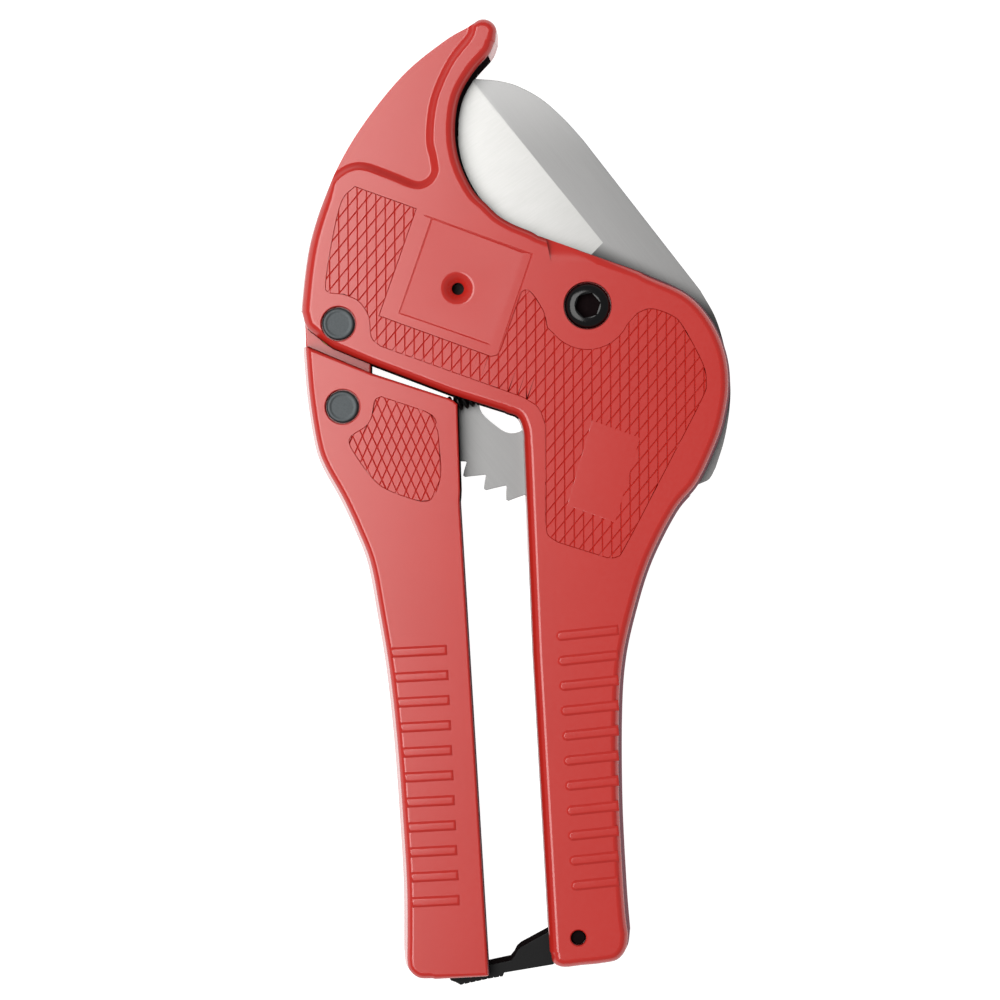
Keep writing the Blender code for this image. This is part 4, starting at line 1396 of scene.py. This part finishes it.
@dataclass
class Latch:
    """The nylon lever that holds the handles closed."""

    layout: Layout
    hub: float = 4.2
    thickness: float = 10.4
    arm: tuple[Point, ...] = ((7.3, -95.0), (1.2, -98.3), (0.3, -99.1), (-0.3, -100.3), (-1.1, -101.3), (-6.2, -102.4),
                              (-13.7, -104.1), (-14.7, -105.0), (-14.4, -105.7), (-13.3, -106.1),
                              (-12.2, -106.7), (-5.9, -105.3), (-2.9, -104.8), (-2.6, -104.0), (8.1, -102.2))
    tooth: float = 0.28

    def build(self, finishes: Finishes) -> list[bpy.types.Object]:
        """Make the lever, with its thumb serrations.

        Args:
            finishes: the tool's materials.

        Returns:
            The lever.
        """
        mid = self.layout.middle
        low, high = mid - self.thickness / 2, mid + self.thickness / 2
        edge = chain(arc(self.layout.latch, self.hub, -110, 90, 24), list(self.arm))
        lever = soft_plate("latch_arm", edge, low, high, 0.3)
        finishes.dress(lever, finishes.nylon)
        cuts = [prism("pin_bore", circle(self.layout.latch, 1.7), low - 1, high + 1)]
        start, end = Vector((-11.4, -106.5)), Vector((-3.6, -104.9))
        along = (end - start).normalized()
        for i in range(7):
            centre = start + (end - start) * i / 6
            angle = math.degrees(math.atan2(along.y, along.x))
            notch = turned([(-self.tooth, -0.2), (self.tooth, -0.2), (0, self.tooth)], tuple(centre), angle)
            cuts.append(prism("notch", notch, low - 1, high + 1))
        carve(lever, cuts)
        # Painted shade: the lever's walls facing +Y get the nearly black shade finish
        coat_walls(lever, finishes.black_shade_paint, lambda way, at: way.y > 0.3)
        return [lever]


# Room, light and camera


@dataclass
class Studio:
    """A pale floor, soft light and a camera that looks straight down."""

    view_mm: float = 220.0
    distance_mm: float = 800.0
    plane_mm: float = 17.0
    centre_mm: Point = (-3.52, 0.33)
    ambient: float = 0.40
    softbox_place: tuple[float, float, float] = (-0.340, 0.05, 0.94)
    softbox_size: tuple[float, float] = (0.86, 0.6)
    softbox_radiance: float = 7.05
    softbox_colour: str = "#FFFEFC"

    def camera(self) -> None:
        """Make the camera and set it as the scene's."""
        lens = bpy.data.cameras.new("camera")
        lens.sensor_width = 36.0
        lens.lens = lens.sensor_width * self.distance_mm / self.view_mm
        lens.clip_end = 10
        camera = bpy.data.objects.new("camera", lens)
        camera.location = (self.centre_mm[0] * MM, self.centre_mm[1] * MM,
                           (self.plane_mm + self.distance_mm) * MM)
        bpy.context.scene.collection.objects.link(camera)
        bpy.context.scene.camera = camera

    def floor(self) -> None:
        """Make the floor, a sheet of opal acrylic lit evenly from below."""
        surface = bmesh.new()
        bmesh.ops.create_grid(surface, x_segments=1, y_segments=1, size=2500)
        floor = make_object("floor", surface)
        floor.location.z = -0.02 * MM
        material = bpy.data.materials.new("lit_opal_acrylic")
        material.use_nodes = True
        shader = material.node_tree.nodes["Principled BSDF"]
        shader.inputs["Base Color"].default_value = linear("#9A9A9A")
        shader.inputs["Roughness"].default_value = 0.9
        shader.inputs["Specular IOR Level"].default_value = 0.0
        shader.inputs["Emission Color"].default_value = (1, 1, 1, 1)
        shader.inputs["Emission Strength"].default_value = 0.97
        floor.data.materials.append(material)

    def softbox(self) -> None:
        """Add the soft light on the left, which faces the middle of the tool."""
        lamp = bpy.data.lights.new("softbox_left", "AREA")
        lamp.shape = "RECTANGLE"
        lamp.size, lamp.size_y = self.softbox_size
        lamp.energy = self.softbox_radiance * math.pi * lamp.size * lamp.size_y
        lamp.color = linear(self.softbox_colour)[:3]
        holder = bpy.data.objects.new("softbox_left", lamp)
        holder.location = self.softbox_place
        holder.rotation_euler = Vector(self.softbox_place).to_track_quat("Z", "Y").to_euler()
        bpy.context.scene.collection.objects.link(holder)

    def world(self) -> None:
        """Surround the tool with dim even light."""
        world = bpy.data.worlds.new("studio")
        bpy.context.scene.world = world
        world.use_nodes = True
        sky = world.node_tree.nodes["Background"]
        sky.inputs["Color"].default_value = linear("#FFFFFF")
        sky.inputs["Strength"].default_value = self.ambient

    def build(self) -> None:
        """Set up the whole studio."""
        bpy.context.scene.view_settings.view_transform = "Standard"
        self.camera()
        self.floor()
        self.softbox()
        self.world()


# The latch pin wears the painted black shade, so its hole reads dark
KEPT_NODES: dict[str, str] = {
    "blade_pivot_nut": "oxide", "blade_pivot_bush": "bronze", "blade_washer_front": "zinc",
    "blade_washer_rear": "zinc", "handle_rivet_collar": "rivet", "pawl_rivet_collar": "rivet", "pawl_spacer_front": "zinc",
    "pawl_spacer_rear": "zinc", "latch_pin": "black_shade_paint", "pawl": "plate",
}


def dress_kept_nodes(frame: dict, finishes: Finishes) -> None:
    """Give the CAD pieces that stay as they are their finished materials."""
    for name, finish in KEPT_NODES.items():
        node = frame["nodes"][name]
        node.data.materials.clear()
        node.data.materials.append(getattr(finishes, finish))
        LOG.info("kept %s in %s", name, finish)


def settle(piece: bpy.types.Object, body: str, *nodes: str) -> None:
    """Shade a finished piece, let it ride on a body and stand for its CAD nodes."""
    shade(piece)
    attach(piece, body)
    if nodes:
        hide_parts(*nodes)
    LOG.info("built %s on %s", piece.name, body)


def main() -> None:
    """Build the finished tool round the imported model."""
    logging.basicConfig(level=logging.INFO, format="%(message)s")
    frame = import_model()
    layout = Layout.from_frame()
    finishes = Finishes()

    body, head_panel, tablet = BodyCasting(layout).build(finishes)
    settle(body, "body", "body_frame")
    settle(head_panel, "body")
    settle(tablet, "body")
    handle, patch = MovingHandle(layout).build(finishes)
    settle(handle, "handle", "moving_handle")
    settle(patch, "handle")
    settle(Blade(layout).build(finishes)[0], "blade", "blade")
    screw, handle_rivet, pawl_rivet, front_shim, rear_shim = Fasteners(layout).build(finishes)
    settle(screw, "body", "blade_pivot_screw")
    settle(handle_rivet, "body", "handle_pivot_rivet")
    settle(pawl_rivet, "handle", "pawl_pivot_rivet")
    settle(front_shim, "body", "handle_washer_front")
    settle(rear_shim, "body", "handle_washer_rear")
    return_coil, pawl_coil = Springs(layout).build(finishes)
    settle(return_coil, "body", "return_spring")
    settle(pawl_coil, "handle", "pawl_spring")
    settle(Latch(layout).build(finishes)[0], "latch", "latch_lever")
    dress_kept_nodes(frame, finishes)
    Studio().build()


if __name__ == "__main__":
    main()
